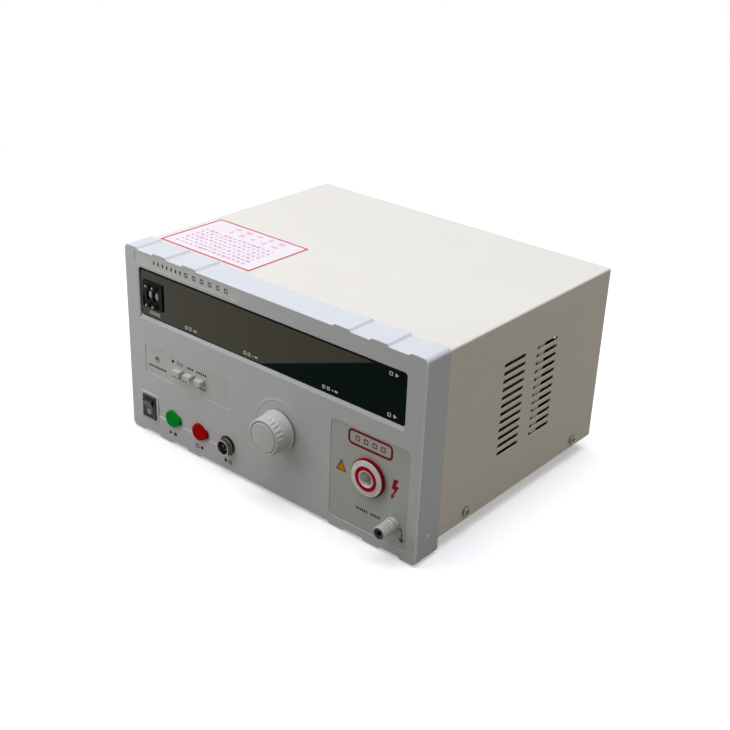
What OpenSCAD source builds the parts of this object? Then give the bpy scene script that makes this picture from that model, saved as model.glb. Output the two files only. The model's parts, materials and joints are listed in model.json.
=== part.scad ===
// Bench voltage tester, in millimetres. +Z is up, the front panel faces -Y, and the origin is on the
// surface it stands on, under the middle of its overall box. Depths are counted from the bezel's front
// face towards the rear, and heights from the bezel's lowest edge.

/* [Case] */
// Width over the bezel
case_w = 320; // [266:1:400]
// Height of the bezel over its raised tabs
case_h = 171.5; // [168:0.5:215]
// Depth from the bezel's front face to the cover's rear edge
case_d = 250; // [205:1:320]
// Gap between the bezel's tabs and the surface that the feet stand on
foot_lift = 1; // [0.5:0.1:4]
// Sheet thickness of the cover, the base pan and the rear panel
sheet_t = 1.2; // [0.8:0.1:1.6]
// How far the cover's sides lie inside the bezel's sides
cover_inset = 1.2; // [0.6:0.1:1.8]
// How far the cover's top lies below the bezel's tabs
cover_drop = 2.5; // [2:0.1:4]
// Height of the cover's lower edges above the bezel's lowest edge
cover_bottom = 11.8; // [8:0.1:16]
// Inside bend radius of the cover
cover_r = 0.4; // [0.2:0.1:2.4]

/* [Bezel] */
// Depth of the bezel
bezel_d = 27.3; // [24:0.1:36]
// Wall thickness of the bezel's sides
bezel_wall = 2.5; // [2:0.1:3]
// Thickness of the front panel
panel_t = 3.2; // [2.8:0.1:4]
// Corner radius of the bezel seen from the front
bezel_r = 4.5; // [3:0.1:8]
// Height of the raised tabs on the top and bottom edges
tab_h = 1.8; // [1:0.1:2.4]
// Width of each raised tab at its top
tab_w = 14; // [10:0.5:18]
// Distance from one tab's centre to the next
tab_pitch = 35.5; // [30:0.5:38]
// Centre of the innermost tab from the middle of the bezel
tab_first = 81; // [60:0.5:81]
// Depth of the recesses that hold the label films
film_recess = 0.6; // [0.4:0.05:1]
// Thickness of the label films and of the label on the cover
film_t = 0.25; // [0.15:0.05:0.35]

/* [Display window] */
// Distance from the bezel's side to the smoked window
window_side = 17.2; // [16:0.1:40]
// Height of the smoked window
window_h = 42.8; // [40:0.1:48]
// Distance from the bezel's tabs down to the window's upper edge
window_top = 16.7; // [15:0.1:20]
// How deep the window's face lies behind the bezel's front
window_recess = 1.4; // [0.8:0.1:2]
// Thickness of the window
window_t = 2; // [1.5:0.1:3]
// Corner radius of the window
window_r = 3; // [1.5:0.1:6]
// Height of the sloped lip under the window
lip_h = 3.4; // [2:0.1:5]
// Depth of the display board's front face
display_d = 12; // [11:0.5:14]
// Width of one digit display
display_w = 37.6; // [30:0.1:44]
// Height of one digit display
display_h = 19; // [14:0.1:24]

/* [Pre-set switch] */
// Width of the push-wheel switch's front flange
preset_w = 24; // [23:0.1:26]
// Height of the push-wheel switch's front flange
preset_h = 23.8; // [23.4:0.1:26]
// Depth of the push-wheel switch behind the panel
preset_d = 26; // [24:0.5:34]
// Distance between the two number wheels
wheel_pitch = 8; // [7.8:0.1:8.6]
// Radius of the number wheels
wheel_r = 7.2; // [6.6:0.1:7.6]
// Width of a number wheel's rim
wheel_w = 5.4; // [4:0.1:6]
// Travel of the plus and minus push pieces
push_travel = 1.8; // [1:0.1:1.9]

/* [Keys] */
// Width of a push key
key_w = 8.5; // [6:0.1:10]
// Height of a push key
key_h = 5; // [4:0.1:7]
// Distance from one key's centre to the next
key_pitch = 13; // [12:0.1:16]
// How far a key stands out of the panel
key_out = 5; // [3.5:0.1:7]
// Travel of a key
key_travel = 3; // [2:0.1:3.2]

/* [Start row] */
// Height of the rocker, buttons and remote socket row
row_z = 25; // [22:0.1:28]
// Width of the mains rocker's frame
rocker_w = 16.7; // [15:0.1:18]
// Height of the mains rocker's frame
rocker_h = 21.6; // [20:0.1:24]
// Angle that the rocker turns through
rocker_swing = 24; // [16:1:28]
// Radius of the start and reset buttons
button_r = 7.5; // [6:0.1:8.5]
// Height of the tongue on each button's right side
tongue_h = 8; // [5:0.1:9]
// Reach of the tongue from the button's centre
tongue_reach = 10.2; // [9:0.1:12]
// How far the buttons stand out of the panel
button_out = 2.2; // [1:0.1:4]
// Travel of the buttons
button_travel = 1.5; // [0.8:0.1:1.8]
// Outside radius of the remote socket's barrel
remote_r = 6.8; // [6:0.1:8]
// How far the remote socket stands out of the panel
remote_out = 5.9; // [5:0.1:9]

/* [Knob and regulator] */
// Height of the knob's centre
knob_z = 63; // [58:0.5:66]
// Radius of the knob's skirt
knob_r = 17.5; // [14:0.1:20]
// Distance from the panel to the knob's front face
knob_out = 19; // [15:0.5:26]
// Number of flutes round the knob
knob_flutes = 24; // [12:1:30]
// Radius of the regulator's shaft
shaft_r = 3; // [2.5:0.1:4]
// Angle that the knob turns through
knob_turn = 320; // [270:5:330]
// Outside radius of the regulator's winding
winding_r = 45; // [36:0.5:46]
// Length of the regulator's winding along the shaft
winding_l = 46; // [30:1:52]

/* [High-voltage output] */
// Height of the output socket's centre
hv_z = 58.1; // [50:0.1:64]
// Radius of the output socket's white flange
hv_flange_r = 14.7; // [13:0.1:18]
// Radius of the output socket's bore
hv_bore_r = 6; // [4:0.1:6.4]
// How far the output socket stands out of the panel
hv_out = 3.9; // [3.2:0.1:6]
// Radius of the insulator's barrel where it passes through the panel
hv_barrel_r = 9.5; // [8.5:0.1:10]
// Height of the ground post's centre
post_z = 27.5; // [24:0.1:30]
// How far the ground post stands out of the panel
post_out = 16.5; // [14:0.1:22]
// Radius of the ground post's bore
post_bore_r = 2; // [1.8:0.1:2.1]
// Radius of the ground post's threaded stud
post_stud_r = 3; // [2.8:0.1:3.4]
// Outside radius of the ground post's fluted cap
post_cap_r = 5.5; // [5.3:0.1:7]

/* [Ventilation and screws] */
// Length of a ventilation slot
slot_l = 29.6; // [20:0.1:36]
// Height of a ventilation slot
slot_h = 3.6; // [1.6:0.1:4]
// Distance from one slot to the next above it
slot_pitch = 7; // [5:0.1:8]
// Slots in one column
slot_count = 12; // [4:1:12]
// Height of the lowest slot
slot_z = 53.7; // [48:0.1:60]
// Depth of the front column's centre
slot_column = 115; // [90:0.5:120]
// Distance between the two columns' centres
slot_column_pitch = 45; // [38:0.5:50]
// Radius of a cover screw's head
cover_screw_r = 4; // [3.2:0.1:5]
// Height of the cover screws
cover_screw_z = 19.4; // [18:0.1:24]
// Radius of the rubber feet at the floor
foot_r = 8; // [6:0.5:10]

/* [Insides] */
// Thickness of the circuit boards
board_t = 1.6; // [1:0.1:2]
// Depth of the panel board's front face
panel_board_d = 18; // [18:0.5:22]
// Length of the control board from front to rear
control_l = 130; // [90:1:132]
// Width of the control board
control_w = 100; // [80:1:102]
// Thickness of the high-voltage transformer's lamination stack
stack_w = 40; // [30:1:44]
// Width of the high-voltage transformer's lamination from front to rear
lamination_l = 100; // [96:1:104]
// Height of the high-voltage transformer's core
core_h = 124; // [112:1:128]
// Radius of the high-voltage lead
lead_r = 2.4; // [1.5:0.1:2.5]

/* [Clearances] */
// Gap round buttons and keys in their holes
button_gap = 0.25; // [0.15:0.05:0.4]
// Gap round fixed pieces in their holes
seat_gap = 0.15; // [0.1:0.05:0.25]
// Radial gap of shafts, axles and screws in their bores
running_gap = 0.05; // [0.02:0.01:0.08]

/* [Hidden] */
$fn = 48;
// How far a cutting shape runs past the face that it cuts
over = 1;

// Overall places
rear_reach = 9;
front_y = -(knob_out + case_d + rear_reach) / 2 + knob_out;
base_z = foot_lift;
left_x = -case_w / 2;
right_x = case_w / 2;

// Bezel
bezel_low = case_h - 2 * tab_h;
bezel_in_w = case_w - 2 * bezel_wall;
tab_ramp = tab_h;
frame_d = window_recess + window_t + 1.6;
frame_rim = 3;
ledge_w = 4;
boss_r = 3.4;
boss_d = 12;
pilot_r = 1.45;
corner_boss_x = right_x - 8;
corner_boss_z = [24, case_h - 21.5];
middle_boss_x = [left_x + 148, right_x - 80];
board_boss = [[33, 84.3], [105, 83], [70.3, 42]];
board_x = [28, 110];
board_foot_x = [41, 101];
board_z = [14, 44, 88];

// Display window and what lies behind it
window_w = case_w - 2 * window_side;
window_z = case_h - window_top - window_h / 2;
display_ends = [left_x + 78, right_x - 89.5];
middle_share = 69 / 152.5;
display_x = [display_ends[0], display_ends[0] + middle_share * (display_ends[1] - display_ends[0]),
    display_ends[1]];
display_front = window_recess + window_t + 0.8;
lamp_x = right_x - 29.7;
lamp_z = [window_z - 11, window_z + 9];
lamp_r = 2.4;
display_board_x = [left_x + 50, right_x - 19];
display_boss_x = [display_board_x[0] + 5, display_board_x[1] - 5];
display_boss_z = window_h / 2 - ledge_w / 2 + frame_rim / 2;

// Pre-set switch
preset_x = left_x + 33;
preset_z = case_h - 38.8;
preset_body_w = preset_w - 1.6;
preset_body_h = preset_h - 0.8;
preset_front = window_recess + 0.6;
wheel_front = preset_front - 0.6;
wheel_d = wheel_front + wheel_r;
cell_w = wheel_pitch - 0.8;
cell_h = 21;
axle_r = 1;
push_w = 5.2;
push_h = 3.8;
push_out = push_travel + 0.9;
push_z = 7.9;
push_collar = 1.2;
push_lip = [0.6, 0.4];
push_relief = 0.9;
digit_slot = [6, 8.4];

// Keys and adjusting screw
key_x = left_x + 77;
key_z = 73;
key_stem = [4.1, 3.1];
key_stem_d = 13;
key_rest_gap = 0.3;
bank_d = 6.5;
bank_size = [3 * key_pitch + 3, 13];
trimmer_x = left_x + 35.9;
trimmer_z = 75.4;
trimmer_hole_r = 1.9;
trimmer_r = 1.5;
trimmer_body_d = 9;

// Start row
rocker_x = left_x + 24;
rocker_rim = 2.6;
rocker_rim_h = 0.6;
rocker_flange = 1.6;
rocker_body_w = rocker_w - 3.5;
rocker_body_h = rocker_h - 2.2;
rocker_body_d = 20;
rocker_cell_w = rocker_body_w - 1.8;
paddle_r = rocker_body_h / 2 - 1.4;
paddle_pivot = 0.4;
paddle_face = 1.84;
paddle_cell_d = paddle_pivot + paddle_r + 0.4;
paddle_pin_r = 1;
start_x = left_x + 53.5;
reset_x = left_x + 87.1;
button_collar = 1.5;
button_stem_r = 2.2;
switch_w = 7;
switch_h = 3.5;
button_stem_d = panel_board_d - switch_h - 0.3 - button_travel;
remote_x = left_x + 120.7;
remote_hole_r = remote_r + 2;
remote_seat = 1.4;
remote_flange = 0.9;
remote_rear = 14;
remote_in_r = remote_r - 0.9;
remote_face = 2;
remote_pin_r = 0.8;
remote_pin_out = 3.5;
stripe_h = 9.5;
stripe_depth = 0.4;

// Label fields: centre x, centre z, width, height, corner radius
title_field = [left_x + 74.5, case_h - 8.2, 123, 9.6, 1.6];
key_field = [left_x + 72.2, 72.5, 102.6, 26, 1.6];
output_field = [right_x - 48, 52, 76.2, 85.4, 4];
film_face = film_recess - film_t;

// Knob and regulator
knob_shift = 1.3;
knob_x = (key_field[0] + key_field[2] / 2 + output_field[0] - output_field[2] / 2) / 2 + knob_shift;
knob_gap = 1.4;
knob_h = knob_out - knob_gap;
dish_r = 26;
dish_w = 1.6;
dish_h = 0.25;
shaft_hole_r = shaft_r + 1;
winding_d = 48;
winding_in_r = 18;
winding_edge_r = 4;
arm_d = 38;
arm_t = 5;
arm_reach = (winding_in_r + winding_r) / 2;
arm_rest = knob_turn / 2;
hub_r = 8;
base_plate_t = 4;
base_plate_w = 80;
base_foot_l = 20;
base_foot_t = 3;
base_screw = [30, 14];
base_plate_d = winding_d + winding_l;

// High-voltage output and ground post
hv_x = output_field[0] + 0.4;
gasket_t = 2.7;
gasket_r = hv_flange_r + 1;
hv_flange_out = hv_out - 0.4;
hv_bore_d = 18;
hv_rear = 34;
ring_r = [7.2, 10.2];
ring_depth = 0.8;
contact_r = 2.5;
contact_head_r = 4;
contact_rear = 40;
lead_bend_r = 20;
lead_steps = 6;
lead_sides = 12;
post_x = right_x - 23;
post_bore_l = 13;
post_collar_r = 6.2;
post_collar_out = 2.6;
post_gap = 0.3;
post_bush_r = 4.55;
post_bush_l = 2.4;
post_stud_rear = 20;
nut_t = 3;

// Case
cover_w = case_w - 2 * cover_inset;
cover_top = case_h - cover_drop;
cover_screw_d = [63, case_d - 31];
pan_gap = 0.3;
pan_w = cover_w - 2 * sheet_t - 2 * pan_gap;
pan_z = cover_bottom + 0.4;
pan_top = pan_z + sheet_t;
pan_front = boss_d;
pan_rear = case_d - 2 - 2 * sheet_t;
flange_z = pan_z + 21.8;
upright_l = 16;
ear_w = 11.3;
ear_up = 7;
upright_top = corner_boss_z[1] + ear_up;
strap_w = 8.2;
strap_lead = 5.3;
strap_d = slot_column + slot_column_pitch - strap_lead;
ear_down = 11.8;
middle_ear_w = 16;
rear_lip_w = case_w - 28;
rear_lip_h = 16;
rear_panel_d = case_d - 2 - sheet_t;
rear_flange = 11;
vent_count = 10;
vent_pitch = 7;
vent_z = 112;
vent_size = [40, 3];
foot_x = right_x - 25.5;
foot_top_r = foot_r + 1.4;
foot_hole_r = 4;
foot_web = 3;
label_size = [107, 72.5];
label_x = left_x + 61.7;
label_d = 67.3;

// Screws inside
screw_r = 1.4;
screw_head_r = 2.8;
screw_head_h = 1.8;
screw_clear = 1.6;
rear_screw_x = [left_x + 25, -40, 40, right_x - 25];
rear_screw_z = pan_z + 9;

// Control board
control_x = left_x + 10 + control_w / 2;
control_d = 50 + control_l / 2;
control_z = 24;
post_emboss_r = 3.4;
control_screw = [control_w / 2 - 6, control_l / 2 - 6];
part_pitch = 27;
relay_size = [20, 28, 24];
cap_r = 10;
cap_h = 28;

// High-voltage transformer
trans_x = right_x - 56;
trans_d = case_d - 75;
trans_plate_t = 2;
trans_plate = [stack_w + 16, lamination_l + 20];
trans_screw = [trans_plate[0] / 2 - 5, trans_plate[1] / 2 - 5];
foot_d = [45, trans_d + trans_screw[1] - foot_top_r - 2];
yoke_h = 20;
centre_leg = 30;
side_leg = 18;
coil_gap = 0.3;
coil_w = stack_w + 24;
coil_l = lamination_l - 2 * side_leg - 2;
core_z = pan_top + trans_plate_t;
coil_z = core_z + yoke_h + coil_gap;
coil_h = core_h - 2 * yoke_h - 2 * coil_gap;
strip_t = 3;
strip_w = 7.5;
strip_h = 77;
strip_z = coil_z + 5;
strip_shift = 0.7;
tag_count = 8;

// Mains inlet and rear earth terminal
inlet_x = left_x + 60;
inlet_z = 56;
inlet_flange = [32, 50, 3];
inlet_body = [28, 46, 22];
inlet_cavity = [24, 16.4, 16];
inlet_cavity_z = -9;
inlet_chamfer = 4;
blade = [2, 4, 11.5];
blade_pitch = 7;
drawer_z = 14;
drawer_size = [22, 9, 18];
drawer_gap = 0.2;
earth_x = left_x + 105;
earth_z = 42;
earth_r = 2.5;
earth_nut_r = 5;
thumb_r = 6.5;
thumb_d = 3.6;
thumb_l = 4.8;

// Draws in the panel's plane: X to the right, Y up, and Z out of the panel towards the user
module on_panel(x, z, depth = 0) {
    translate([x, front_y + depth, base_z + z]) rotate([90, 0, 0]) children();
}

// A prism of a shape drawn in the panel's plane, from one depth to a greater one
module slab(x, z, from, to) {
    on_panel(x, z, to) linear_extrude(to - from) children();
}

// A round bar square to the panel, from one depth to a greater one
module rod(x, z, from, to, r) {
    on_panel(x, z, to) cylinder(h = to - from, r = r);
}

// A straight block given by its limits across, in depth and in height
module block(x, d, z) {
    translate([x[0], front_y + d[0], base_z + z[0]]) cube([x[1] - x[0], d[1] - d[0], z[1] - z[0]]);
}

module rounded_rect(w, h, r) {
    square([w - 2 * r, h], center = true);
    square([w, h - 2 * r], center = true);
    for (sx = [-1, 1], sy = [-1, 1]) translate([sx * (w / 2 - r), sy * (h / 2 - r)]) circle(r = r);
}

module round_slot(l, h) {
    square([l - h, h], center = true);
    for (s = [-1, 1]) translate([s * (l - h) / 2, 0]) circle(d = h);
}

// An upright shape with its two upper corners rounded
module arch(w, low, high, r) {
    translate([-w / 2, low]) square([w, high - low - r]);
    translate([-w / 2 + r, low]) square([w - 2 * r, high - low]);
    for (s = [-1, 1]) translate([s * (w / 2 - r), high - r]) circle(r = r);
}

// A hexagon nut square to the panel, r to its corners
module nut(x, z, from, to, r, bore) {
    slab(x, z, from, to) difference() {
        circle(r = r, $fn = 6);
        circle(r = bore);
    }
}

// A pan-head screw with a cross recess: its head stands on z = 0 and its shank points down
module screw(head_r, head_h, shank_r, shank_l) {
    difference() {
        union() {
            cylinder(h = head_h * 0.5, r = head_r);
            translate([0, 0, head_h * 0.5]) cylinder(h = head_h * 0.5, r1 = head_r, r2 = head_r * 0.72);
            translate([0, 0, -shank_l]) cylinder(h = shank_l + head_h * 0.25, r = shank_r);
        }
        for (a = [0, 90]) rotate([0, 0, a + 45])
            translate([-head_r * 0.55, -head_r * 0.1, head_h * 0.5])
                cube([head_r * 1.1, head_r * 0.2, head_h]);
    }
}

// A screw driven forwards, from the rear, with its head on the given depth
module screw_from_rear(x, z, depth, shank_l) {
    on_panel(x, z, depth) rotate([180, 0, 0]) screw(screw_head_r, screw_head_h, screw_r, shank_l);
}

// The hollows between the raised tabs, along one edge of the bezel's outline
module tab_valleys() {
    inner = tab_first - tab_w / 2;
    gaps = concat([[-inner, inner]],
        [for (s = [-1, 1], i = [0, 1])
            let (a = inner + tab_w + i * tab_pitch, b = inner + (i + 1) * tab_pitch)
            s > 0 ? [a, b] : [-b, -a]]);
    for (g = gaps) polygon([[g[0], over], [g[0], 0], [g[0] + tab_ramp, -tab_h],
        [g[1] - tab_ramp, -tab_h], [g[1], 0], [g[1], over]]);
}

module bezel_outline() {
    difference() {
        rounded_rect(case_w, case_h, bezel_r);
        translate([0, case_h / 2]) tab_valleys();
        translate([0, -case_h / 2]) rotate(180) tab_valleys();
    }
}

module bezel_shell() {
    difference() {
        slab(0, case_h / 2, 0, bezel_d) bezel_outline();
        slab(0, case_h / 2, panel_t, bezel_d + over)
            rounded_rect(bezel_in_w, bezel_low - 2 * bezel_wall, bezel_r - 2);
    }
}

// Places of the bosses that the base pan's tabs are screwed to
module at_pan_bosses() {
    for (s = [-1, 1], z = corner_boss_z) translate([s * corner_boss_x, 0, z]) children();
    for (x = middle_boss_x) translate([x, 0, corner_boss_z[0]]) children();
}

module at_display_bosses() {
    for (x = display_boss_x, s = [-1, 1]) translate([x, 0, window_z + s * display_boss_z]) children();
}

// Places of the bosses that the panel board is screwed to
module at_board_bosses() {
    for (p = board_boss) translate([left_x + p[0], 0, p[1]]) children();
}

module button_outline(gap) {
    circle(r = button_r + gap);
    translate([0, -tongue_h / 2 - gap]) square([tongue_reach - 3, tongue_h + 2 * gap]);
    translate([tongue_reach - 3, -tongue_h / 2 + 3]) square([3 + gap, tongue_h - 6]);
    for (s = [-1, 1]) translate([tongue_reach - 3, s * (tongue_h / 2 - 3)]) circle(r = 3 + gap);
}

module front_bezel() {
    color("#c9cbcc") difference() {
        union() {
            bezel_shell();
            slab(0, window_z, panel_t - 0.2, frame_d)
                rounded_rect(window_w + 2 * frame_rim, window_h + 2 * frame_rim, window_r + 1);
            at_pan_bosses() rod(0, 0, panel_t - 0.2, boss_d, boss_r);
            at_display_bosses() rod(0, 0, frame_d - 0.2, display_d, boss_r);
            at_board_bosses() rod(0, 0, panel_t - 0.2, panel_board_d, boss_r);
            slab(rocker_x, row_z + 0.8, -rocker_rim_h, panel_t - 0.2)
                rounded_rect(rocker_w + 2 * rocker_rim, rocker_h + 2 * rocker_rim, 2);
            on_panel(knob_x, knob_z, 0.2) difference() {
                cylinder(h = 0.2 + dish_h, r = dish_r);
                translate([0, 0, -over]) cylinder(h = 3 * over, r = dish_r - dish_w);
            }
        }
        window_cuts();
        for (f = [title_field, key_field, output_field])
            slab(f[0], f[1], -over, film_recess)
                rounded_rect(f[2] + 2 * seat_gap, f[3] + 2 * seat_gap, f[4]);
        start_row_cuts();
        for (i = [-1:1]) slab(key_x + i * key_pitch, key_z, -over, panel_t + over)
            square([key_w + 2 * button_gap, key_h + 2 * button_gap], center = true);
        rod(trimmer_x, trimmer_z, -over, panel_t + over, trimmer_hole_r);
        rod(knob_x, knob_z, -over, panel_t + over, shaft_hole_r);
        rod(hv_x, hv_z, -over, panel_t + over, hv_barrel_r + seat_gap);
        rod(post_x, post_z, -over, panel_t + over, post_stud_r + seat_gap);
        at_pan_bosses() rod(0, 0, panel_t, boss_d + over, pilot_r);
        at_display_bosses() rod(0, 0, frame_d - 1, display_d + over, pilot_r);
        at_board_bosses() rod(0, 0, panel_t + 4, panel_board_d + over, pilot_r);
    }
}

// The window's recess, its opening and the sloped lip below it
module window_cuts() {
    slab(0, window_z, -over, window_recess + window_t)
        rounded_rect(window_w + 2 * seat_gap, window_h + 2 * seat_gap, window_r);
    slab(0, window_z, -over, frame_d + over)
        rounded_rect(window_w - 2 * ledge_w, window_h - 2 * ledge_w, window_r - 1);
    on_panel(-window_w / 2, window_z - window_h / 2) rotate([90, 0, 90]) linear_extrude(window_w)
        polygon([[-lip_h, 0], [-lip_h, over], [over, over], [over, -window_recess], [0, -window_recess]]);
}

module start_row_cuts() {
    slab(rocker_x, row_z + 0.8, -over, panel_t + over)
        square([rocker_body_w + 2 * seat_gap, rocker_body_h + 2 * seat_gap], center = true);
    slab(rocker_x, row_z + 0.8, -over, 0)
        square([rocker_w + 2 * seat_gap, rocker_h + 2 * seat_gap], center = true);
    stripe_from = rocker_x + rocker_w / 2 + rocker_rim;
    slab((stripe_from + remote_x) / 2, row_z, -over, stripe_depth)
        square([remote_x - stripe_from, stripe_h], center = true);
    for (x = [start_x, reset_x]) slab(x, row_z, -over, panel_t + over) button_outline(button_gap);
    rod(remote_x, row_z, -over, remote_seat, remote_hole_r);
    rod(remote_x, row_z, -over, panel_t + over, remote_r + seat_gap);
}

module panel_films() {
    color("#b9bab5") {
        film(title_field);
        difference() {
            film(key_field);
            for (i = [-1:1]) slab(key_x + i * key_pitch, key_z, -over, film_recess + over)
                square([key_w + 2 * button_gap, key_h + 2 * button_gap], center = true);
            rod(trimmer_x, trimmer_z, -over, film_recess + over, trimmer_hole_r);
        }
        difference() {
            film(output_field);
            rod(hv_x, hv_z, -over, film_recess + over, hv_barrel_r + seat_gap);
            rod(post_x, post_z, -over, film_recess + over, post_stud_r + seat_gap);
        }
    }
}

module film(f) {
    slab(f[0], f[1], film_face, film_recess) rounded_rect(f[2], f[3], f[4]);
}

module display_window() {
    color([0.12, 0.11, 0.1, 0.9]) difference() {
        slab(0, window_z, window_recess, window_recess + window_t) rounded_rect(window_w, window_h, window_r);
        slab(preset_x, preset_z, window_recess - over, window_recess + window_t + over)
            square([preset_body_w + 2 * seat_gap, preset_body_h + 2 * seat_gap], center = true);
    }
}

module display_board() {
    half = display_boss_z + boss_r;
    color("#1f5b3a") difference() {
        block(display_board_x, [display_d, display_d + board_t], [window_z - half, window_z + half]);
        at_display_bosses() rod(0, 0, display_d - over, display_d + board_t + over, screw_clear);
    }
}

module digit_displays() {
    color("#2a2522") for (x = display_x) difference() {
        slab(x, window_z, display_front, display_d) rounded_rect(display_w, display_h, 0.8);
        slab(x, window_z, display_front - over, display_front + 0.5)
            square([display_w - 2, display_h - 2], center = true);
    }
}

module indicator_lamps() {
    color("#8a2a22") for (z = lamp_z) {
        rod(lamp_x, z, display_front + lamp_r, display_d, lamp_r);
        on_panel(lamp_x, z, display_front + lamp_r) sphere(r = lamp_r);
        rod(lamp_x, z, display_d - 1, display_d, lamp_r + 0.5);
    }
}

// Places of the two halves of the push-wheel switch, tens and units
function wheel_x(i) = preset_x + (i - 0.5) * wheel_pitch;

module preset_housing() {
    color("#17181a") difference() {
        union() {
            slab(preset_x, preset_z, 0, window_recess) rounded_rect(preset_w, preset_h, 0.8);
            slab(preset_x, preset_z, window_recess - 0.2, preset_d)
                square([preset_body_w, preset_body_h], center = true);
        }
        for (i = [0, 1]) {
            slab(wheel_x(i), preset_z, preset_front, preset_d - 1.6) square([cell_w, cell_h], center = true);
            slab(wheel_x(i), preset_z, -over, preset_front + over) square(digit_slot, center = true);
            for (s = [-1, 1]) slab(wheel_x(i), preset_z + s * push_z, -over, preset_front + over)
                square([push_w + 2 * button_gap, push_h + 2 * button_gap], center = true);
        }
        axle_line(preset_x, preset_body_w - 4, axle_r + running_gap);
    }
}

// A bar along X on the number wheels' axis
module axle_line(x, l, r) {
    translate([x, front_y + wheel_d, base_z + preset_z]) rotate([0, 90, 0])
        cylinder(h = l, r = r, center = true);
}

module preset_wheel(i) {
    color("#24262a") difference() {
        union() {
            axle_line(wheel_x(i), wheel_w, wheel_r);
            axle_line(wheel_x(i), cell_w + 0.7, axle_r);
            axle_line(wheel_x(i), cell_w - 0.4, axle_r + 1.5);
        }
        for (a = [0:36:359]) translate([wheel_x(i) + wheel_w / 2, front_y + wheel_d, base_z + preset_z])
            rotate([a + 18, 0, 0]) translate([0, 0, wheel_r - 0.6]) rotate([0, 90, 0])
                cylinder(h = 1.6, r = 0.8, center = true, $fn = 24);
    }
}

module preset_push(i, side) {
    color("#1c1d20") {
        slab(wheel_x(i), preset_z + side * push_z, -push_out, preset_front + 0.2)
            square([push_w, push_h], center = true);
        slab(wheel_x(i), preset_z + side * (push_z + (push_relief + push_lip[1]) / 2),
            preset_front + 0.1, preset_front + push_collar + 0.1)
            square([push_w + 2 * push_lip[0], push_h + push_lip[1] - push_relief], center = true);
    }
}

module preset_wheel_tens() { preset_wheel(0); }
module preset_wheel_units() { preset_wheel(1); }
module preset_plus_tens() { preset_push(0, 1); }
module preset_minus_tens() { preset_push(0, -1); }
module preset_plus_units() { preset_push(1, 1); }
module preset_minus_units() { preset_push(1, -1); }

module power_switch_body() {
    z = row_z + 0.8;
    color("#141517") difference() {
        union() {
            slab(rocker_x, z, -rocker_flange, 0) rounded_rect(rocker_w, rocker_h, 1);
            slab(rocker_x, z, -0.2, rocker_body_d) square([rocker_body_w, rocker_body_h], center = true);
            for (s = [-1, 1]) slab(rocker_x, z + s * 5, rocker_body_d - 0.2, rocker_body_d + 8)
                square([6.3, 0.8], center = true);
        }
        slab(rocker_x, z, -rocker_flange - over, paddle_cell_d)
            square([rocker_cell_w, 2 * paddle_r + 0.4], center = true);
        paddle_line(rocker_cell_w + 1.6, paddle_pin_r + running_gap);
    }
}

// A bar along X on the rocker's pivot
module paddle_line(l, r) {
    translate([rocker_x, front_y + paddle_pivot, base_z + row_z + 0.8]) rotate([0, 90, 0])
        cylinder(h = l, r = r, center = true);
}

module power_rocker() {
    w = rocker_cell_w - 0.4;
    rise = paddle_face + paddle_r * tan(rocker_swing / 2);
    color("#1d1e21") {
        on_panel(rocker_x - w / 2, row_z + 0.8, paddle_pivot) rotate([rocker_swing / 2, 0, 0])
            rotate([90, 0, 90]) linear_extrude(w) intersection() {
                circle(r = paddle_r);
                polygon([[0, paddle_face], [paddle_r, rise], [paddle_r, -2], [3, -5], [-3, -5],
                    [-paddle_r, -2], [-paddle_r, rise]]);
            }
        paddle_line(w + 1.6, paddle_pin_r);
    }
}

module round_button(x) {
    slab(x, row_z, -button_out, panel_t + 0.4) button_outline(0);
    slab(x, row_z, panel_t + 0.3, panel_t + 1.5) button_outline(button_collar);
    rod(x, row_z, panel_t + 1.4, button_stem_d, button_stem_r);
}

module start_button() { color("#00803a") round_button(start_x); }
module reset_button() { color("#a80014") round_button(reset_x); }

module button_switches() {
    color("#222326") for (x = [start_x, reset_x]) {
        slab(x, row_z, panel_board_d - switch_h, panel_board_d) square(switch_w, center = true);
        for (s = [-1, 1]) slab(x + s * (switch_w / 2 + 0.4), row_z, panel_board_d - 0.6, panel_board_d)
            square([1.4, 5], center = true);
    }
}

module key(i) {
    x = key_x + i * key_pitch;
    color("#dcdcd6") {
        slab(x, key_z, -key_out, bank_d - key_travel - key_rest_gap) rounded_rect(key_w, key_h, 0.6);
        slab(x, key_z, bank_d - key_travel - key_rest_gap - 0.1, key_stem_d) square(key_stem, center = true);
    }
}

module key_left() { key(-1); }
module key_middle() { key(0); }
module key_right() { key(1); }

module key_switch_bank() {
    color("#b9bcc0") difference() {
        slab(key_x, key_z, bank_d, panel_board_d) square(bank_size, center = true);
        for (i = [-1:1])
            slab(key_x + i * key_pitch, key_z, bank_d - over, key_stem_d + key_travel + key_rest_gap)
            square([key_stem[0] + 0.2, key_stem[1] + 0.2], center = true);
    }
}

module panel_board() {
    color("#1f5b3a") difference() {
        slab(0, 0, panel_board_d, panel_board_d + board_t) translate([left_x, 0]) {
            translate([board_x[0], board_z[1]]) square([board_x[1] - board_x[0], board_z[2] - board_z[1]]);
            translate([board_foot_x[0], board_z[0]])
                square([board_foot_x[1] - board_foot_x[0], board_z[2] - board_z[0]]);
        }
        at_board_bosses() rod(0, 0, panel_board_d - over, panel_board_d + board_t + over, screw_clear);
    }
}

module trimmer_body() {
    color("#2f5fae") difference() {
        slab(trimmer_x, trimmer_z, trimmer_body_d, panel_board_d) square([9.5, 9.5], center = true);
        rod(trimmer_x, trimmer_z, trimmer_body_d - over, trimmer_body_d + 4.5, trimmer_r + running_gap);
    }
}

module trimmer_screw() {
    color("#c7a44a") difference() {
        rod(trimmer_x, trimmer_z, 1, trimmer_body_d + 4.2, trimmer_r);
        slab(trimmer_x, trimmer_z, 1 - over, 1.8) square([4, 0.5], center = true);
    }
}

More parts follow.
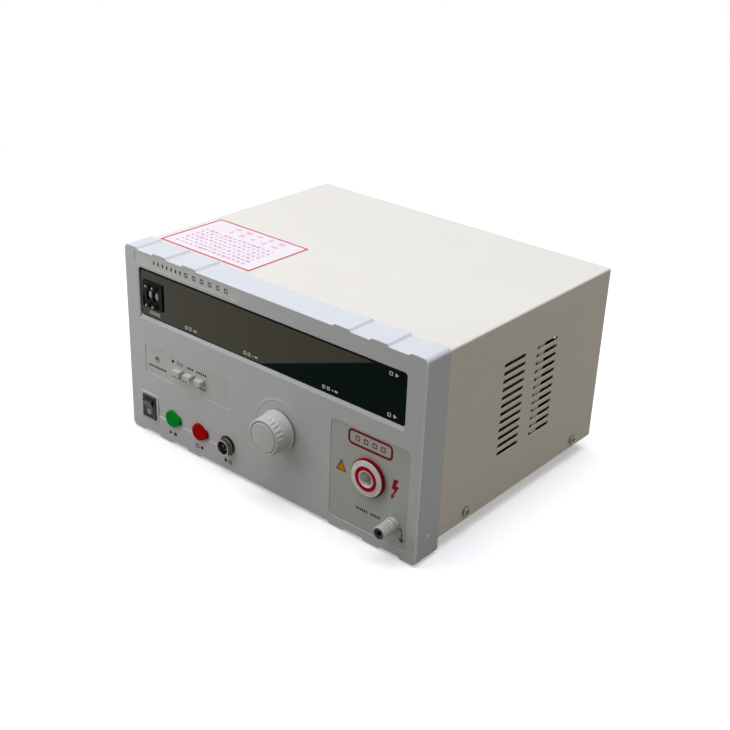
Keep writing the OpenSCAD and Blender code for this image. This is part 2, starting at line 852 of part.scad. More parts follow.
module remote_socket_shell() {
    color("#c2c4c6") difference() {
        union() {
            rod(remote_x, row_z, -remote_out, remote_rear, remote_r);
            rod(remote_x, row_z, remote_seat - remote_flange, remote_seat, remote_hole_r - 0.4);
        }
        rod(remote_x, row_z, -remote_out - over, remote_rear + over, remote_in_r);
        on_panel(remote_x, row_z, -1.6) rotate_extrude() translate([remote_r, 0]) circle(r = 0.35);
    }
}

module remote_socket_insert() {
    color("#20242c") difference() {
        rod(remote_x, row_z, remote_face, remote_rear - 2, remote_in_r - running_gap);
        at_remote_pins() rod(0, 0, remote_face - over, remote_rear + over, remote_pin_r + running_gap);
        on_panel(remote_x, row_z + remote_in_r, remote_rear) cylinder(h = 30, r = 0.8);
    }
}

// Places of the remote socket's five pins
module at_remote_pins() {
    for (i = [0:4]) translate([remote_x + 3.3 * sin(i * 72 + 36), 0, row_z + 3.3 * cos(i * 72 + 36)])
        children();
}

module remote_socket_pins() {
    color("#d7c27a") at_remote_pins() rod(0, 0, remote_face - remote_pin_out, remote_rear + 2, remote_pin_r);
}

// Half of the knob's section: distance from the axis, then height above the skirt's back
module knob_section() {
    face_r = knob_r - 2.9;
    difference() {
        polygon([[0, 0], [knob_r, 0], [knob_r, 1.3], [knob_r - 0.5, 1.8], [knob_r - 0.9, 1.9],
            [knob_r - 1.9, knob_h - 1.4], [knob_r - 2.3, knob_h - 0.9], [face_r + 0.1, knob_h - 0.7],
            [face_r - 0.1, knob_h - 0.3], [face_r - 0.8, knob_h], [0, knob_h - 0.5]]);
        translate([face_r + 0.2, knob_h - 0.7]) circle(r = 0.35);
    }
}

module voltage_knob() {
    color("#d2d2cc") on_panel(knob_x, knob_z, -knob_gap) difference() {
        rotate_extrude() knob_section();
        for (i = [0:knob_flutes - 1]) rotate([0, 0, (i + 0.5) * 360 / knob_flutes])
            translate([knob_r - 1.3, 0, knob_h + 1]) rotate([0, 172, 0]) cylinder(h = 16, r = 1.5);
        translate([0, 0, -over]) cylinder(h = knob_h - 4 + over, r = shaft_r + running_gap);
    }
}

module regulator_shaft() {
    color("#b8babc") {
        rod(knob_x, knob_z, -knob_gap - knob_h + 4.4, base_plate_d + base_plate_t + 6, shaft_r);
        rod(knob_x, knob_z, base_plate_d + base_plate_t + 0.3, base_plate_d + base_plate_t + 3, shaft_r + 2);
    }
}

module regulator_brush_arm() {
    color("#8d7a52") on_panel(knob_x, knob_z, arm_d + arm_t) rotate([0, 0, arm_rest]) difference() {
        union() {
            cylinder(h = arm_t, r = hub_r);
            translate([-4.5, 0, 0]) cube([9, arm_reach + 4, arm_t]);
            translate([-4, arm_reach - 5, -(winding_d - arm_d - arm_t) + 0.3])
                cube([8, 10, winding_d - arm_d - arm_t]);
        }
        translate([0, 0, -over]) cylinder(h = arm_t + 2 * over, r = shaft_r + running_gap);
    }
}

module regulator_winding() {
    color("#a5602c") on_panel(knob_x, knob_z, base_plate_d) rotate_extrude()
        translate([arm_reach, winding_l / 2])
            rounded_rect(winding_r - winding_in_r, winding_l, winding_edge_r);
}

module regulator_base() {
    foot_z = pan_top;
    color("#4b4f54") difference() {
        union() {
            block([knob_x - base_plate_w / 2, knob_x + base_plate_w / 2],
                [base_plate_d, base_plate_d + base_plate_t], [foot_z, knob_z + winding_r - 6]);
            block([knob_x - base_plate_w / 2, knob_x + base_plate_w / 2],
                [base_plate_d, base_plate_d + base_foot_l], [foot_z, foot_z + base_foot_t]);
            rod(knob_x, knob_z, winding_d + 4, base_plate_d + 0.2, hub_r);
        }
        rod(knob_x, knob_z, winding_d, base_plate_d + base_plate_t + over, shaft_r + running_gap);
        at_base_screws() translate([0, 0, foot_z - over]) cylinder(h = 5, r = screw_clear);
    }
}

module at_base_screws() {
    for (s = [-1, 1])
        translate([knob_x + s * base_screw[0], front_y + base_plate_d + base_screw[1], base_z]) children();
}

module hv_socket_body() {
    color("#ecebe6") difference() {
        union() {
            rod(hv_x, hv_z, -hv_flange_out, film_face - gasket_t, hv_flange_r);
            rod(hv_x, hv_z, -hv_out, hv_rear, hv_barrel_r);
            on_panel(hv_x, hv_z, -hv_flange_out) cylinder(h = hv_out - hv_flange_out, r1 = ring_r[1] + 1.6,
                r2 = ring_r[1] + 0.9);
        }
        rod(hv_x, hv_z, -hv_out - over, hv_bore_d, hv_bore_r);
        rod(hv_x, hv_z, hv_bore_d - over, hv_bore_d + 2, contact_head_r + running_gap);
        rod(hv_x, hv_z, hv_bore_d, hv_rear + over, contact_r + running_gap);
        ring_shape(ring_r[0] - running_gap, ring_r[1] + running_gap, -over);
    }
}

// A flat ring let into the output socket's face
module ring_shape(r0, r1, proud) {
    slab(hv_x, hv_z, -hv_out + proud, -hv_out + ring_depth) difference() {
        circle(r = r1);
        circle(r = r0);
    }
}

module hv_socket_gasket() {
    color("#8c0f1c") slab(hv_x, hv_z, film_face - gasket_t, film_face) difference() {
        circle(r = gasket_r);
        circle(r = hv_barrel_r + running_gap);
    }
}

module hv_socket_ring() { color("#b3121f") ring_shape(ring_r[0], ring_r[1], 0); }

module hv_socket_contact() {
    color("#c7a44a") difference() {
        union() {
            rod(hv_x, hv_z, hv_bore_d, hv_bore_d + 2, contact_head_r);
            rod(hv_x, hv_z, hv_bore_d, contact_rear, contact_r);
        }
        rod(hv_x, hv_z, hv_bore_d - over, hv_bore_d + 8, 1.5);
    }
}

// The lead runs straight back from the contact, steps sideways in two equal bends and meets the coil.
// Each of its stations is [x, depth, heading away from straight back].
function lead_stations() =
    let (to_x = trans_x + stack_w / 2 + 6,
        turn = acos(1 - (to_x - hv_x) / (2 * lead_bend_r)),
        from_d = contact_rear + 12,
        to_d = from_d + 2 * lead_bend_r * sin(turn))
    concat([[hv_x, contact_rear, 0]],
        [for (i = [0:lead_steps]) let (a = turn * i / lead_steps)
            [hv_x + lead_bend_r * (1 - cos(a)), from_d + lead_bend_r * sin(a), a]],
        [for (i = [lead_steps - 1:-1:0]) let (a = turn * i / lead_steps)
            [to_x - lead_bend_r * (1 - cos(a)), to_d - lead_bend_r * sin(a), a]],
        [[to_x, trans_d - coil_l / 2, 0]]);

module hv_lead() {
    stations = lead_stations();
    points = [for (s = stations, j = [0:lead_sides - 1]) let (a = j * 360 / lead_sides)
        [s[0] + lead_r * cos(a) * cos(s[2]), front_y + s[1] - lead_r * cos(a) * sin(s[2]),
            base_z + hv_z + lead_r * sin(a)]];
    last = (len(stations) - 1) * lead_sides;
    walls = [for (i = [0:len(stations) - 2], j = [0:lead_sides - 1])
        let (a = i * lead_sides + j, b = i * lead_sides + (j + 1) % lead_sides)
        [a, b, b + lead_sides, a + lead_sides]];
    color("#a01818") polyhedron(points = points, faces = concat(
        [[for (j = [lead_sides - 1:-1:0]) j]], walls, [[for (j = [0:lead_sides - 1]) last + j]]));
}

module ground_post_stud() {
    color("#c9c9c4") difference() {
        rod(post_x, post_z, -post_out + 0.6, post_stud_rear, post_stud_r);
        rod(post_x, post_z, -post_out - over, -post_out + 0.6 + post_bore_l, post_bore_r);
    }
}

module ground_post_collar() {
    color("#c4c5c1") difference() {
        rod(post_x, post_z, -post_collar_out, film_face, post_collar_r);
        rod(post_x, post_z, -post_collar_out - over, film_face + over, post_stud_r + running_gap);
        on_panel(post_x, post_z, -1.1) rotate_extrude() translate([post_collar_r, 0]) circle(r = 0.4);
    }
}

module ground_post_bush() {
    color("#111214") slab(post_x, post_z, -post_out, -post_out + post_bush_l) difference() {
        circle(r = post_bush_r);
        circle(r = post_stud_r + running_gap);
    }
}

module ground_post_cap() {
    back = -post_collar_out - post_gap;
    color("#cfd0cc") difference() {
        union() {
            rod(post_x, post_z, -post_out, back - 1.2, post_cap_r);
            rod(post_x, post_z, back - 1.4, back, post_cap_r + 0.4);
        }
        rod(post_x, post_z, -post_out - over, back + over, post_stud_r + running_gap);
        rod(post_x, post_z, -post_out - over, -post_out + post_bush_l, post_bush_r + running_gap);
        for (i = [0:17]) turned_about(post_x, post_z, i * 20)
            rod(post_x + post_cap_r + 0.35, post_z, -post_out - over, back - 2.4, 0.7);
    }
}

// Turns what it is given about an axis square to the panel
module turned_about(x, z, a) {
    translate([x, 0, base_z + z]) rotate([0, a, 0]) translate([-x, 0, -base_z - z]) children();
}

module panel_nuts() {
    color("#b9bbbd") {
        nut(remote_x, row_z, panel_t, panel_t + 2.5, remote_r + 3, remote_r + seat_gap);
        nut(hv_x, hv_z, panel_t, panel_t + 5, hv_barrel_r + 4, hv_barrel_r + seat_gap);
        nut(post_x, post_z, panel_t, panel_t + nut_t, post_stud_r + 2.4, post_stud_r + running_gap);
        nut(post_x, post_z, panel_t + nut_t + 6, panel_t + 2 * nut_t + 6, post_stud_r + 2.4,
            post_stud_r + running_gap);
    }
}

module cover() {
    color("#dcdad2") difference() {
        slab(0, 0, bezel_d, case_d) difference() {
            arch(cover_w, cover_bottom, cover_top, cover_r + sheet_t);
            arch(cover_w - 2 * sheet_t, cover_bottom - over, cover_top - sheet_t, cover_r);
        }
        for (c = [0, 1], i = [0:slot_count - 1])
            translate([-case_w / 2, front_y + slot_column + c * slot_column_pitch,
                base_z + slot_z + i * slot_pitch])
                rotate([90, 0, 90]) linear_extrude(case_w) round_slot(slot_l, slot_h);
        for (d = cover_screw_d) across(d, cover_screw_z, case_w, 2.2);
    }
}

// A bar along X through the whole case
module across(depth, z, l, r) {
    translate([0, front_y + depth, base_z + z]) rotate([0, 90, 0]) cylinder(h = l, r = r, center = true);
}

module cover_screws() {
    color("#b4b2ac") for (s = [-1, 1], d = cover_screw_d)
        translate([s * cover_w / 2, front_y + d, base_z + cover_screw_z]) rotate([0, s * 90, 0])
            screw(cover_screw_r, 2.4, 1.5, 6);
}

module base_pan() {
    half = pan_w / 2;
    color("#a9adb0") difference() {
        union() {
            block([-half, half], [pan_front, pan_rear], [pan_z, pan_top]);
            for (s = [-1, 1]) {
                side = s > 0 ? [half - sheet_t, half] : [-half, -half + sheet_t];
                corner = s > 0 ? [half - ear_w, half] : [-half, -half + ear_w];
                block(side, [pan_front, pan_rear], [pan_z, flange_z]);
                block(side, [pan_front, pan_front + upright_l], [pan_z, upright_top]);
                block(side, [strap_d - strap_w / 2, strap_d + strap_w / 2], [pan_z, upright_top]);
                for (z = corner_boss_z)
                    block(corner, [pan_front, pan_front + sheet_t], [z - ear_down, z + ear_up]);
            }
            for (x = middle_boss_x) block([x - middle_ear_w / 2, x + middle_ear_w / 2],
                [pan_front, pan_front + sheet_t], [pan_z, flange_z]);
            block([-rear_lip_w / 2, rear_lip_w / 2], [pan_rear, pan_rear + sheet_t],
                [pan_z, pan_z + rear_lip_h]);
            block([-rear_lip_w / 2, rear_lip_w / 2], [pan_rear - over, pan_rear + sheet_t], [pan_z, pan_top]);
            at_control_screws() translate([0, 0, base_z + pan_top - 0.2])
                cylinder(h = control_z - pan_top + 0.2, r = post_emboss_r);
        }
        at_pan_bosses() rod(0, 0, pan_front - over, pan_front + sheet_t + over, screw_clear);
        for (d = cover_screw_d) across(d, cover_screw_z, case_w, 1.5 + running_gap);
        at_feet() translate([0, 0, base_z + pan_z - over]) cylinder(h = 4, r = screw_clear);
        at_control_screws() translate([0, 0, base_z + pan_top + 3]) cylinder(h = 20, r = pilot_r);
        at_trans_screws() translate([0, 0, base_z + pan_z - over]) cylinder(h = 4, r = pilot_r);
        at_base_screws() translate([0, 0, pan_z - over]) cylinder(h = 4, r = pilot_r);
        for (x = rear_screw_x) rod(x, rear_screw_z, pan_rear - over, pan_rear + 2 * sheet_t, pilot_r);
    }
}

module at_control_screws() {
    for (sx = [-1, 1], sy = [-1, 1])
        translate([control_x + sx * control_screw[0], front_y + control_d + sy * control_screw[1], 0])
            children();
}

module at_trans_screws() {
    for (sx = [-1, 1], sy = [-1, 1])
        translate([trans_x + sx * trans_screw[0], front_y + trans_d + sy * trans_screw[1], 0]) children();
}

module at_feet() {
    for (s = [-1, 1], d = foot_d) translate([s * foot_x, front_y + d, 0]) children();
}

module rear_panel() {
    half = pan_w / 2;
    top = cover_top - sheet_t - pan_gap;
    color("#d3d1c9") difference() {
        union() {
            block([-half, half], [rear_panel_d, rear_panel_d + sheet_t], [pan_z, top]);
            for (s = [-1, 1]) {
                side = s > 0 ? [half - sheet_t, half] : [-half, -half + sheet_t];
                block(side, [rear_panel_d - rear_flange, rear_panel_d + 0.2], [flange_z + 2, top - 4]);
            }
        }
        slab(inlet_x, inlet_z, rear_panel_d - over, rear_panel_d + 2 * over)
            square([inlet_body[0] + 2 * seat_gap, inlet_body[1] + 2 * seat_gap], center = true);
        rod(earth_x, earth_z, rear_panel_d - over, rear_panel_d + 2 * over, earth_r + seat_gap);
        for (x = rear_screw_x)
            rod(x, rear_screw_z, rear_panel_d - over, rear_panel_d + 2 * over, screw_clear);
        for (i = [0:vent_count - 1])
            slab(trans_x + (i - (vent_count - 1) / 2) * vent_pitch, vent_z, rear_panel_d - over,
                rear_panel_d + 2 * over) rotate(90) round_slot(vent_size[0], vent_size[1]);
    }
}

module feet() {
    foot_h = pan_z + foot_lift;
    color("#2b2b2c") at_feet() difference() {
        cylinder(h = foot_h, r1 = foot_r, r2 = foot_top_r);
        translate([0, 0, -over]) cylinder(h = foot_h - foot_web + over, r = foot_hole_r);
        cylinder(h = foot_h + over, r = screw_clear);
    }
}

module chassis_screws() {
    color("#bfc0c2") {
        at_pan_bosses() screw_from_rear(0, 0, pan_front + sheet_t, 6);
        at_display_bosses() screw_from_rear(0, 0, display_d + board_t, 6);
        at_board_bosses() screw_from_rear(0, 0, panel_board_d + board_t, 7);
        for (x = rear_screw_x) screw_from_rear(x, rear_screw_z, rear_panel_d + sheet_t, 5);
        at_control_screws() translate([0, 0, base_z + control_z + board_t])
            screw(screw_head_r, screw_head_h, screw_r, 7);
        at_trans_screws() translate([0, 0, base_z + core_z])
            screw(screw_head_r, screw_head_h, screw_r, 5);
        at_feet() translate([0, 0, base_z + pan_z - foot_web]) rotate([180, 0, 0])
            screw(screw_head_r, screw_head_h, screw_r, 7);
        at_base_screws() translate([0, 0, pan_top + base_foot_t])
            screw(screw_head_r, screw_head_h, screw_r, 6);
    }
}

module top_label() {
    color("#f4f2ef") translate([label_x, front_y + label_d, base_z + cover_top])
        linear_extrude(film_t) rounded_rect(label_size[0], label_size[1], 1);
}

module transformer_core() {
    window_l = lamination_l / 2 - side_leg - centre_leg / 2;
    color("#33363a") difference() {
        union() {
            block([trans_x - stack_w / 2, trans_x + stack_w / 2],
                [trans_d - lamination_l / 2, trans_d + lamination_l / 2], [core_z - 0.2, core_z + core_h]);
            block([trans_x - trans_plate[0] / 2, trans_x + trans_plate[0] / 2],
                [trans_d - trans_plate[1] / 2, trans_d + trans_plate[1] / 2], [pan_top, core_z]);
        }
        for (s = [-1, 1]) {
            mid = trans_d + s * (centre_leg / 2 + window_l / 2);
            block([trans_x - stack_w, trans_x + stack_w], [mid - window_l / 2, mid + window_l / 2],
                [core_z + yoke_h, core_z + core_h - yoke_h]);
        }
        at_trans_screws() translate([0, 0, base_z + pan_top - over]) cylinder(h = 5, r = screw_clear);
    }
}

module transformer_coil() {
    color("#3a2e22") translate([trans_x, front_y + trans_d, base_z + coil_z]) linear_extrude(coil_h)
        difference() {
            rounded_rect(coil_w, coil_l, 5);
            square([stack_w + 2 * coil_gap, centre_leg + 2 * coil_gap], center = true);
        }
}

module terminal_strip() {
    x0 = trans_x + coil_w / 2;
    mid = trans_d + strip_shift;
    color("#c9c7c0") {
        block([x0, x0 + strip_t], [mid - strip_w / 2, mid + strip_w / 2], [strip_z, strip_z + strip_h]);
        for (i = [0:tag_count - 1])
            translate([x0 + strip_t - 0.2, front_y + mid, base_z + strip_z + (i + 0.5) * strip_h / tag_count])
                rotate([0, 90, 0]) cylinder(h = 2.2, r = 1.4);
    }
}

module control_board() {
    color("#1f5b3a") difference() {
        block([control_x - control_w / 2, control_x + control_w / 2],
            [control_d - control_l / 2, control_d + control_l / 2], [control_z, control_z + board_t]);
        at_control_screws() translate([0, 0, base_z + control_z - over]) cylinder(h = 4, r = screw_clear);
    }
}

module relays() {
    color("#23466b") for (i = [-1:1])
        translate([control_x + i * part_pitch, front_y + control_d - control_l / 2 + 30,
            base_z + control_z + board_t + relay_size[2] / 2])
            cube(relay_size, center = true);
}

module capacitors() {
    color("#28324a") for (i = [-1:1])
        translate([control_x + i * part_pitch, front_y + control_d + control_l / 2 - 28,
            base_z + control_z + board_t]) cylinder(h = cap_h - 4 * abs(i), r = cap_r - 2 * abs(i));
}

module mains_inlet() {
    face = rear_panel_d + sheet_t;
    color("#1a1b1d") difference() {
        union() {
            slab(inlet_x, inlet_z, face, face + inlet_flange[2])
                rounded_rect(inlet_flange[0], inlet_flange[1], 3);
            slab(inlet_x, inlet_z, face - inlet_body[2], face + 0.2)
                square([inlet_body[0], inlet_body[1]], center = true);
        }
        slab(inlet_x, inlet_z + inlet_cavity_z, face + inlet_flange[2] - inlet_cavity[2],
            face + inlet_flange[2] + over) inlet_mouth();
        slab(inlet_x, inlet_z + drawer_z, face + inlet_flange[2] - drawer_size[2] - 1,
            face + inlet_flange[2] + over)
            square([drawer_size[0] + 2 * drawer_gap, drawer_size[1] + 2 * drawer_gap], center = true);
        at_blades() square([blade[0] + 2 * running_gap, blade[1] + 2 * running_gap], center = true);
    }
}

// The inlet's six-sided mouth, with its two upper corners cut off
module inlet_mouth() {
    w = inlet_cavity[0] / 2;
    h = inlet_cavity[1] / 2;
    polygon([[-w, -h], [w, -h], [w, h - inlet_chamfer], [w - inlet_chamfer, h],
        [-w + inlet_chamfer, h], [-w, h - inlet_chamfer]]);
}

// The inlet's three blades, from behind its body to short of its mouth
module at_blades() {
    floor_d = rear_panel_d + sheet_t + inlet_flange[2] - inlet_cavity[2];
    for (i = [-1:1])
        slab(inlet_x + i * blade_pitch, inlet_z + inlet_cavity_z + (i == 0 ? 2 : -2), floor_d - 16,
            floor_d + blade[2])
            children();
}

module inlet_pins() {
    color("#cfccb8") at_blades() square([blade[0], blade[1]], center = true);
}

module fuse_drawer() {
    face = rear_panel_d + sheet_t + inlet_flange[2];
    color("#202124") {
        slab(inlet_x, inlet_z + drawer_z, face - drawer_size[2], face)
            square([drawer_size[0], drawer_size[1]], center = true);
        slab(inlet_x, inlet_z + drawer_z, face - 0.2, face + 1.6) square([8, 2.4], center = true);
    }
}

module earth_terminal() {
    face = rear_panel_d + sheet_t;
    color("#cdbb82") {
        rod(earth_x, earth_z, rear_panel_d - 6, case_d + rear_reach, earth_r);
        nut(earth_x, earth_z, rear_panel_d - nut_t, rear_panel_d, earth_nut_r, earth_r + running_gap);
        nut(earth_x, earth_z, face, face + nut_t, earth_nut_r, earth_r + running_gap);
        difference() {
            rod(earth_x, earth_z, face + thumb_d, face + thumb_d + thumb_l, thumb_r);
            rod(earth_x, earth_z, face, face + thumb_d + thumb_l + over, earth_r + running_gap);
            for (i = [0:15]) turned_about(earth_x, earth_z, i * 22.5)
                rod(earth_x + thumb_r + 0.3, earth_z, face, face + thumb_d + thumb_l + over, 0.8);
        }
    }
}

front_bezel();
panel_films();
display_window();
display_board();
digit_displays();
indicator_lamps();
preset_housing();
preset_wheel_tens();
preset_wheel_units();
preset_plus_tens();
preset_minus_tens();
preset_plus_units();
preset_minus_units();
power_switch_body();
power_rocker();
start_button();
reset_button();
button_switches();
key_left();
key_middle();
key_right();
key_switch_bank();
panel_board();
trimmer_body();
trimmer_screw();
remote_socket_shell();
remote_socket_insert();
remote_socket_pins();
voltage_knob();
regulator_shaft();
regulator_brush_arm();
regulator_winding();
regulator_base();
hv_socket_body();
hv_socket_gasket();
hv_socket_ring();
hv_socket_contact();
hv_lead();
ground_post_stud();
ground_post_collar();
ground_post_bush();
ground_post_cap();
panel_nuts();
cover();
cover_screws();
base_pan();
rear_panel();
feet();
chassis_screws();
top_label();
transformer_core();
transformer_coil();
terminal_strip();
control_board();
relays();
capacitors();
mains_inlet();
inlet_pins();
fuse_drawer();
earth_terminal();
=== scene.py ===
"""Looks of a bench voltage tester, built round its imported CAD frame.

Sizes are in millimetres and become metres when a mesh is made. A place on the front panel is given by x to
the user's right, z above the bezel's lowest edge, and depth behind the bezel's front face.
"""

import json
import logging
import math
from contextlib import contextmanager
from dataclasses import dataclass, field
from enum import Enum
from typing import Any, Callable, Iterator, Mapping, NamedTuple, Sequence

import bmesh
import bpy
from mathutils import Matrix, Vector


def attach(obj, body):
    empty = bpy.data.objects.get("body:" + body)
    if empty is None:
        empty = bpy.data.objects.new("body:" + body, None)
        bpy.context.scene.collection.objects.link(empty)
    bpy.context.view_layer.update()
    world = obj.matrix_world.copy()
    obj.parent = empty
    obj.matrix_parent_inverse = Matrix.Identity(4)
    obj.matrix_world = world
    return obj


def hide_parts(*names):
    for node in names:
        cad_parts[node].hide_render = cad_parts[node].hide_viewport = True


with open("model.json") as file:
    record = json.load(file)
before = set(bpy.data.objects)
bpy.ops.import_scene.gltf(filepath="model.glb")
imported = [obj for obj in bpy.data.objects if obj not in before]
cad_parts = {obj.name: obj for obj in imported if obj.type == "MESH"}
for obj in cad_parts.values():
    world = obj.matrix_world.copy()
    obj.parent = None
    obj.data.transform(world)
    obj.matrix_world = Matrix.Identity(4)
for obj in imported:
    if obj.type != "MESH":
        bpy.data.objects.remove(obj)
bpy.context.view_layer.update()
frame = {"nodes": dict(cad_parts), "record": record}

LOG = logging.getLogger("voltage_tester")
MM = 0.001
FRONT_Y = -0.120
BASE_Z = 0.001
# The height of printed ink, and the angles in degrees past which an edge of a mesh stays sharp
INK_HEIGHT = 0.03
CAD_CREASE = 32.0
FORM_CREASE = 35.0
TURNED_CREASE = 40.0

Rgb = tuple[float, float, float]
Point2 = tuple[float, float]
Point3 = tuple[float, float, float]
Settings = Mapping[str, Any]
WHITE: Rgb = (255, 255, 255)


def linear(rgb: Rgb) -> tuple[float, float, float, float]:
    """Returns a colour as seen, 0 to 255, as the linear colour that a socket takes."""
    def one(value: float) -> float:
        """Returns one channel, made linear."""
        share = value / 255
        return share / 12.92 if share <= 0.04045 else ((share + 0.055) / 1.055) ** 2.4
    return (one(rgb[0]), one(rgb[1]), one(rgb[2]), 1.0)


def tint(rgb: Rgb, share: float) -> tuple[float, float, float, float]:
    """Returns a colour made lighter or darker by a share, as a linear colour."""
    return linear(tuple(min(255.0, value * share) for value in rgb))


# Nodes as expressions


def joined(operation: str, reflected: bool = False) -> Callable[["Wire", "Term"], "Wire"]:
    """Returns a method of Wire that adds one Math node, with the wire last where it is reflected."""
    def method(wire: "Wire", other: "Term") -> "Wire":
        """Returns the Math node's result."""
        return wire.graph.math(operation, *((other, wire) if reflected else (wire, other)))
    return method


class Wire:
    """A node socket that takes part in Python expressions, each of which adds its Math node."""

    __add__, __radd__ = joined("ADD"), joined("ADD", True)
    __sub__, __rsub__ = joined("SUBTRACT"), joined("SUBTRACT", True)
    __mul__, __rmul__ = joined("MULTIPLY"), joined("MULTIPLY", True)
    __truediv__, __rtruediv__ = joined("DIVIDE"), joined("DIVIDE", True)
    __pow__, __rpow__ = joined("POWER"), joined("POWER", True)
    above = joined("GREATER_THAN")

    def __init__(self, graph: "Graph", socket: bpy.types.NodeSocket) -> None:
        """Wraps one output socket of a graph."""
        self.graph = graph
        self.socket = socket

    def magnitude(self) -> "Wire":
        """Returns the value without its sign."""
        return self.graph.math("ABSOLUTE", self)

    def fraction(self) -> "Wire":
        """Returns what is left past the whole number below."""
        return self.graph.math("FRACT", self)

    def eased(self, low: "Term", high: "Term") -> "Wire":
        """Returns 0 below low, 1 above high, and a smooth step between them."""
        return self.graph.wire("ShaderNodeMapRange", {"interpolation_type": "SMOOTHSTEP", "clamp": True},
                               {"Value": self, "From Min": low, "From Max": high})


Term = Wire | float


class Graph:
    """Adds nodes to one tree and hands their outputs back as wires."""

    def __init__(self, tree: bpy.types.NodeTree) -> None:
        """Takes the tree that the nodes go into."""
        self.tree = tree

    def add(self, kind: str, settings: Settings | None = None,
            values: Mapping[Any, Any] | None = None) -> bpy.types.Node:
        """Adds one node.

        Args:
            kind: The node's type.
            settings: The node's own settings, set first; "stops" holds a ramp's positions and colours.
            values: The value or wire of each input, by its name or number.

        Returns:
            The node.
        """
        node = self.tree.nodes.new(kind)
        for name, value in (settings or {}).items():
            if name == "stops":
                for place, (position, colour) in enumerate(value):
                    ramp = node.color_ramp.elements
                    stop = ramp[place] if place < len(ramp) else ramp.new(position)
                    stop.position, stop.color = position, colour
            else:
                setattr(node, name, value)
        for key, value in (values or {}).items():
            if isinstance(value, Wire):
                self.tree.links.new(value.socket, node.inputs[key])
            else:
                node.inputs[key].default_value = value
        return node

    def wire(self, kind: str, settings: Settings | None = None, values: Mapping[Any, Any] | None = None,
             output: int | str = 0) -> Wire:
        """Adds one node and returns one of its outputs."""
        return Wire(self, self.add(kind, settings, values).outputs[output])

    def math(self, operation: str, *terms: Term) -> Wire:
        """Returns a Math node's result for one, two or three terms."""
        return self.wire("ShaderNodeMath", {"operation": operation}, dict(enumerate(terms)))

    def vector(self, operation: str, *terms: Any, output: int | str = 0) -> Wire:
        """Returns a Vector Math node's result for its terms."""
        return self.wire("ShaderNodeVectorMath", {"operation": operation}, dict(enumerate(terms)), output)

    def mix(self, factor: Term, first: Any, second: Any, blend: str = "MIX") -> Wire:
        """Returns two colours mixed by a factor."""
        return self.wire("ShaderNodeMix", {"data_type": "RGBA", "blend_type": blend},
                         {0: factor, 6: first, 7: second}, 2)

    def axes(self, vector: Wire) -> tuple[Wire, Wire, Wire]:
        """Returns a vector's three parts."""
        node = self.add("ShaderNodeSeparateXYZ", values={0: vector})
        return tuple(Wire(self, node.outputs[place]) for place in range(3))

    def place(self, stretch: Point3 = (1, 1, 1)) -> Wire:
        """Returns the point on the piece in millimetres, each axis times its stretch."""
        point = self.wire("ShaderNodeTexCoord", output="Object")
        return self.vector("MULTIPLY", point, tuple(1000 * value for value in stretch))

    def noise(self, size: float, detail: float = 2, stretch: Point3 = (1, 1, 1), warp: float = 0) -> Wire:
        """Returns smooth noise, 0 to 1, whose features measure about size millimetres."""
        return self.wire("ShaderNodeTexNoise", {"noise_dimensions": "3D"},
                         {"Vector": self.place(stretch), "Scale": 1 / size, "Detail": detail,
                          "Distortion": warp})

    def specks(self, spacing: float, size: float) -> Wire:
        """Returns 1 in small round specks about a spacing apart, and 0 elsewhere."""
        distance = self.wire("ShaderNodeTexVoronoi", {"feature": "F1"},
                             {"Vector": self.place(), "Scale": 1 / spacing})
        return 1 - distance.eased(size / spacing * 0.6, size / spacing)

    def edges(self, radius: float) -> Wire:
        """Returns 1 on a piece's edges and 0 on its flats, found by rounding them by a radius."""
        round_normal = self.wire("ShaderNodeBevel", {"samples": 4}, {"Radius": radius * MM})
        flat_normal = self.wire("ShaderNodeNewGeometry", output="Normal")
        turned = 1 - self.vector("DOT_PRODUCT", round_normal, flat_normal, output="Value")
        return turned.eased(0.02, 0.3)

    def bump(self, height: Wire, depth: float, below: Wire | None = None) -> Wire:
        """Returns a normal from a height of 0 to 1 that stands for a depth in millimetres."""
        values = {"Strength": 1.0, "Distance": depth * MM, "Height": height}
        if below is not None:
            values["Normal"] = below
        return self.wire("ShaderNodeBump", None, values)

    def surface(self, **values: Any) -> Wire:
        """Returns a Principled shader whose sockets are named in lower case with underscores."""
        named = {name.replace("_", " ").title().replace("Ior", "IOR"): value
                 for name, value in values.items()}
        return self.wire("ShaderNodeBsdfPrincipled", None, named)

    def glow(self, rgb: Rgb, strength: float = 1.0) -> Wire:
        """Returns a shader that gives off a colour as seen."""
        return self.wire("ShaderNodeEmission", None, {"Color": linear(rgb), "Strength": strength})

    def either(self, factor: Term, first: Wire, second: Wire) -> Wire:
        """Returns two shaders mixed by a factor."""
        return self.wire("ShaderNodeMixShader", None, {0: factor, 1: first, 2: second})


def emptied(holder: bpy.types.Material | bpy.types.World) -> Graph:
    """Returns the graph of a material or world, cleared of its nodes."""
    holder.use_nodes = True
    holder.node_tree.nodes.clear()
    return Graph(holder.node_tree)


def linked(name: str, data: bpy.types.ID) -> bpy.types.Object:
    """Returns a new object in the scene that holds a mesh, a curve, a light or a camera."""
    made = bpy.data.objects.new(name, data)
    bpy.context.scene.collection.objects.link(made)
    return made


@contextmanager
def edited(mesh: bpy.types.Mesh, keep: bool = True) -> Iterator[bmesh.types.BMesh]:
    """Opens a mesh, and writes it back when the block ends if what was done to it is kept."""
    work = bmesh.new()
    work.from_mesh(mesh)
    yield work
    if keep:
        work.to_mesh(mesh)
    work.free()


# Finishes


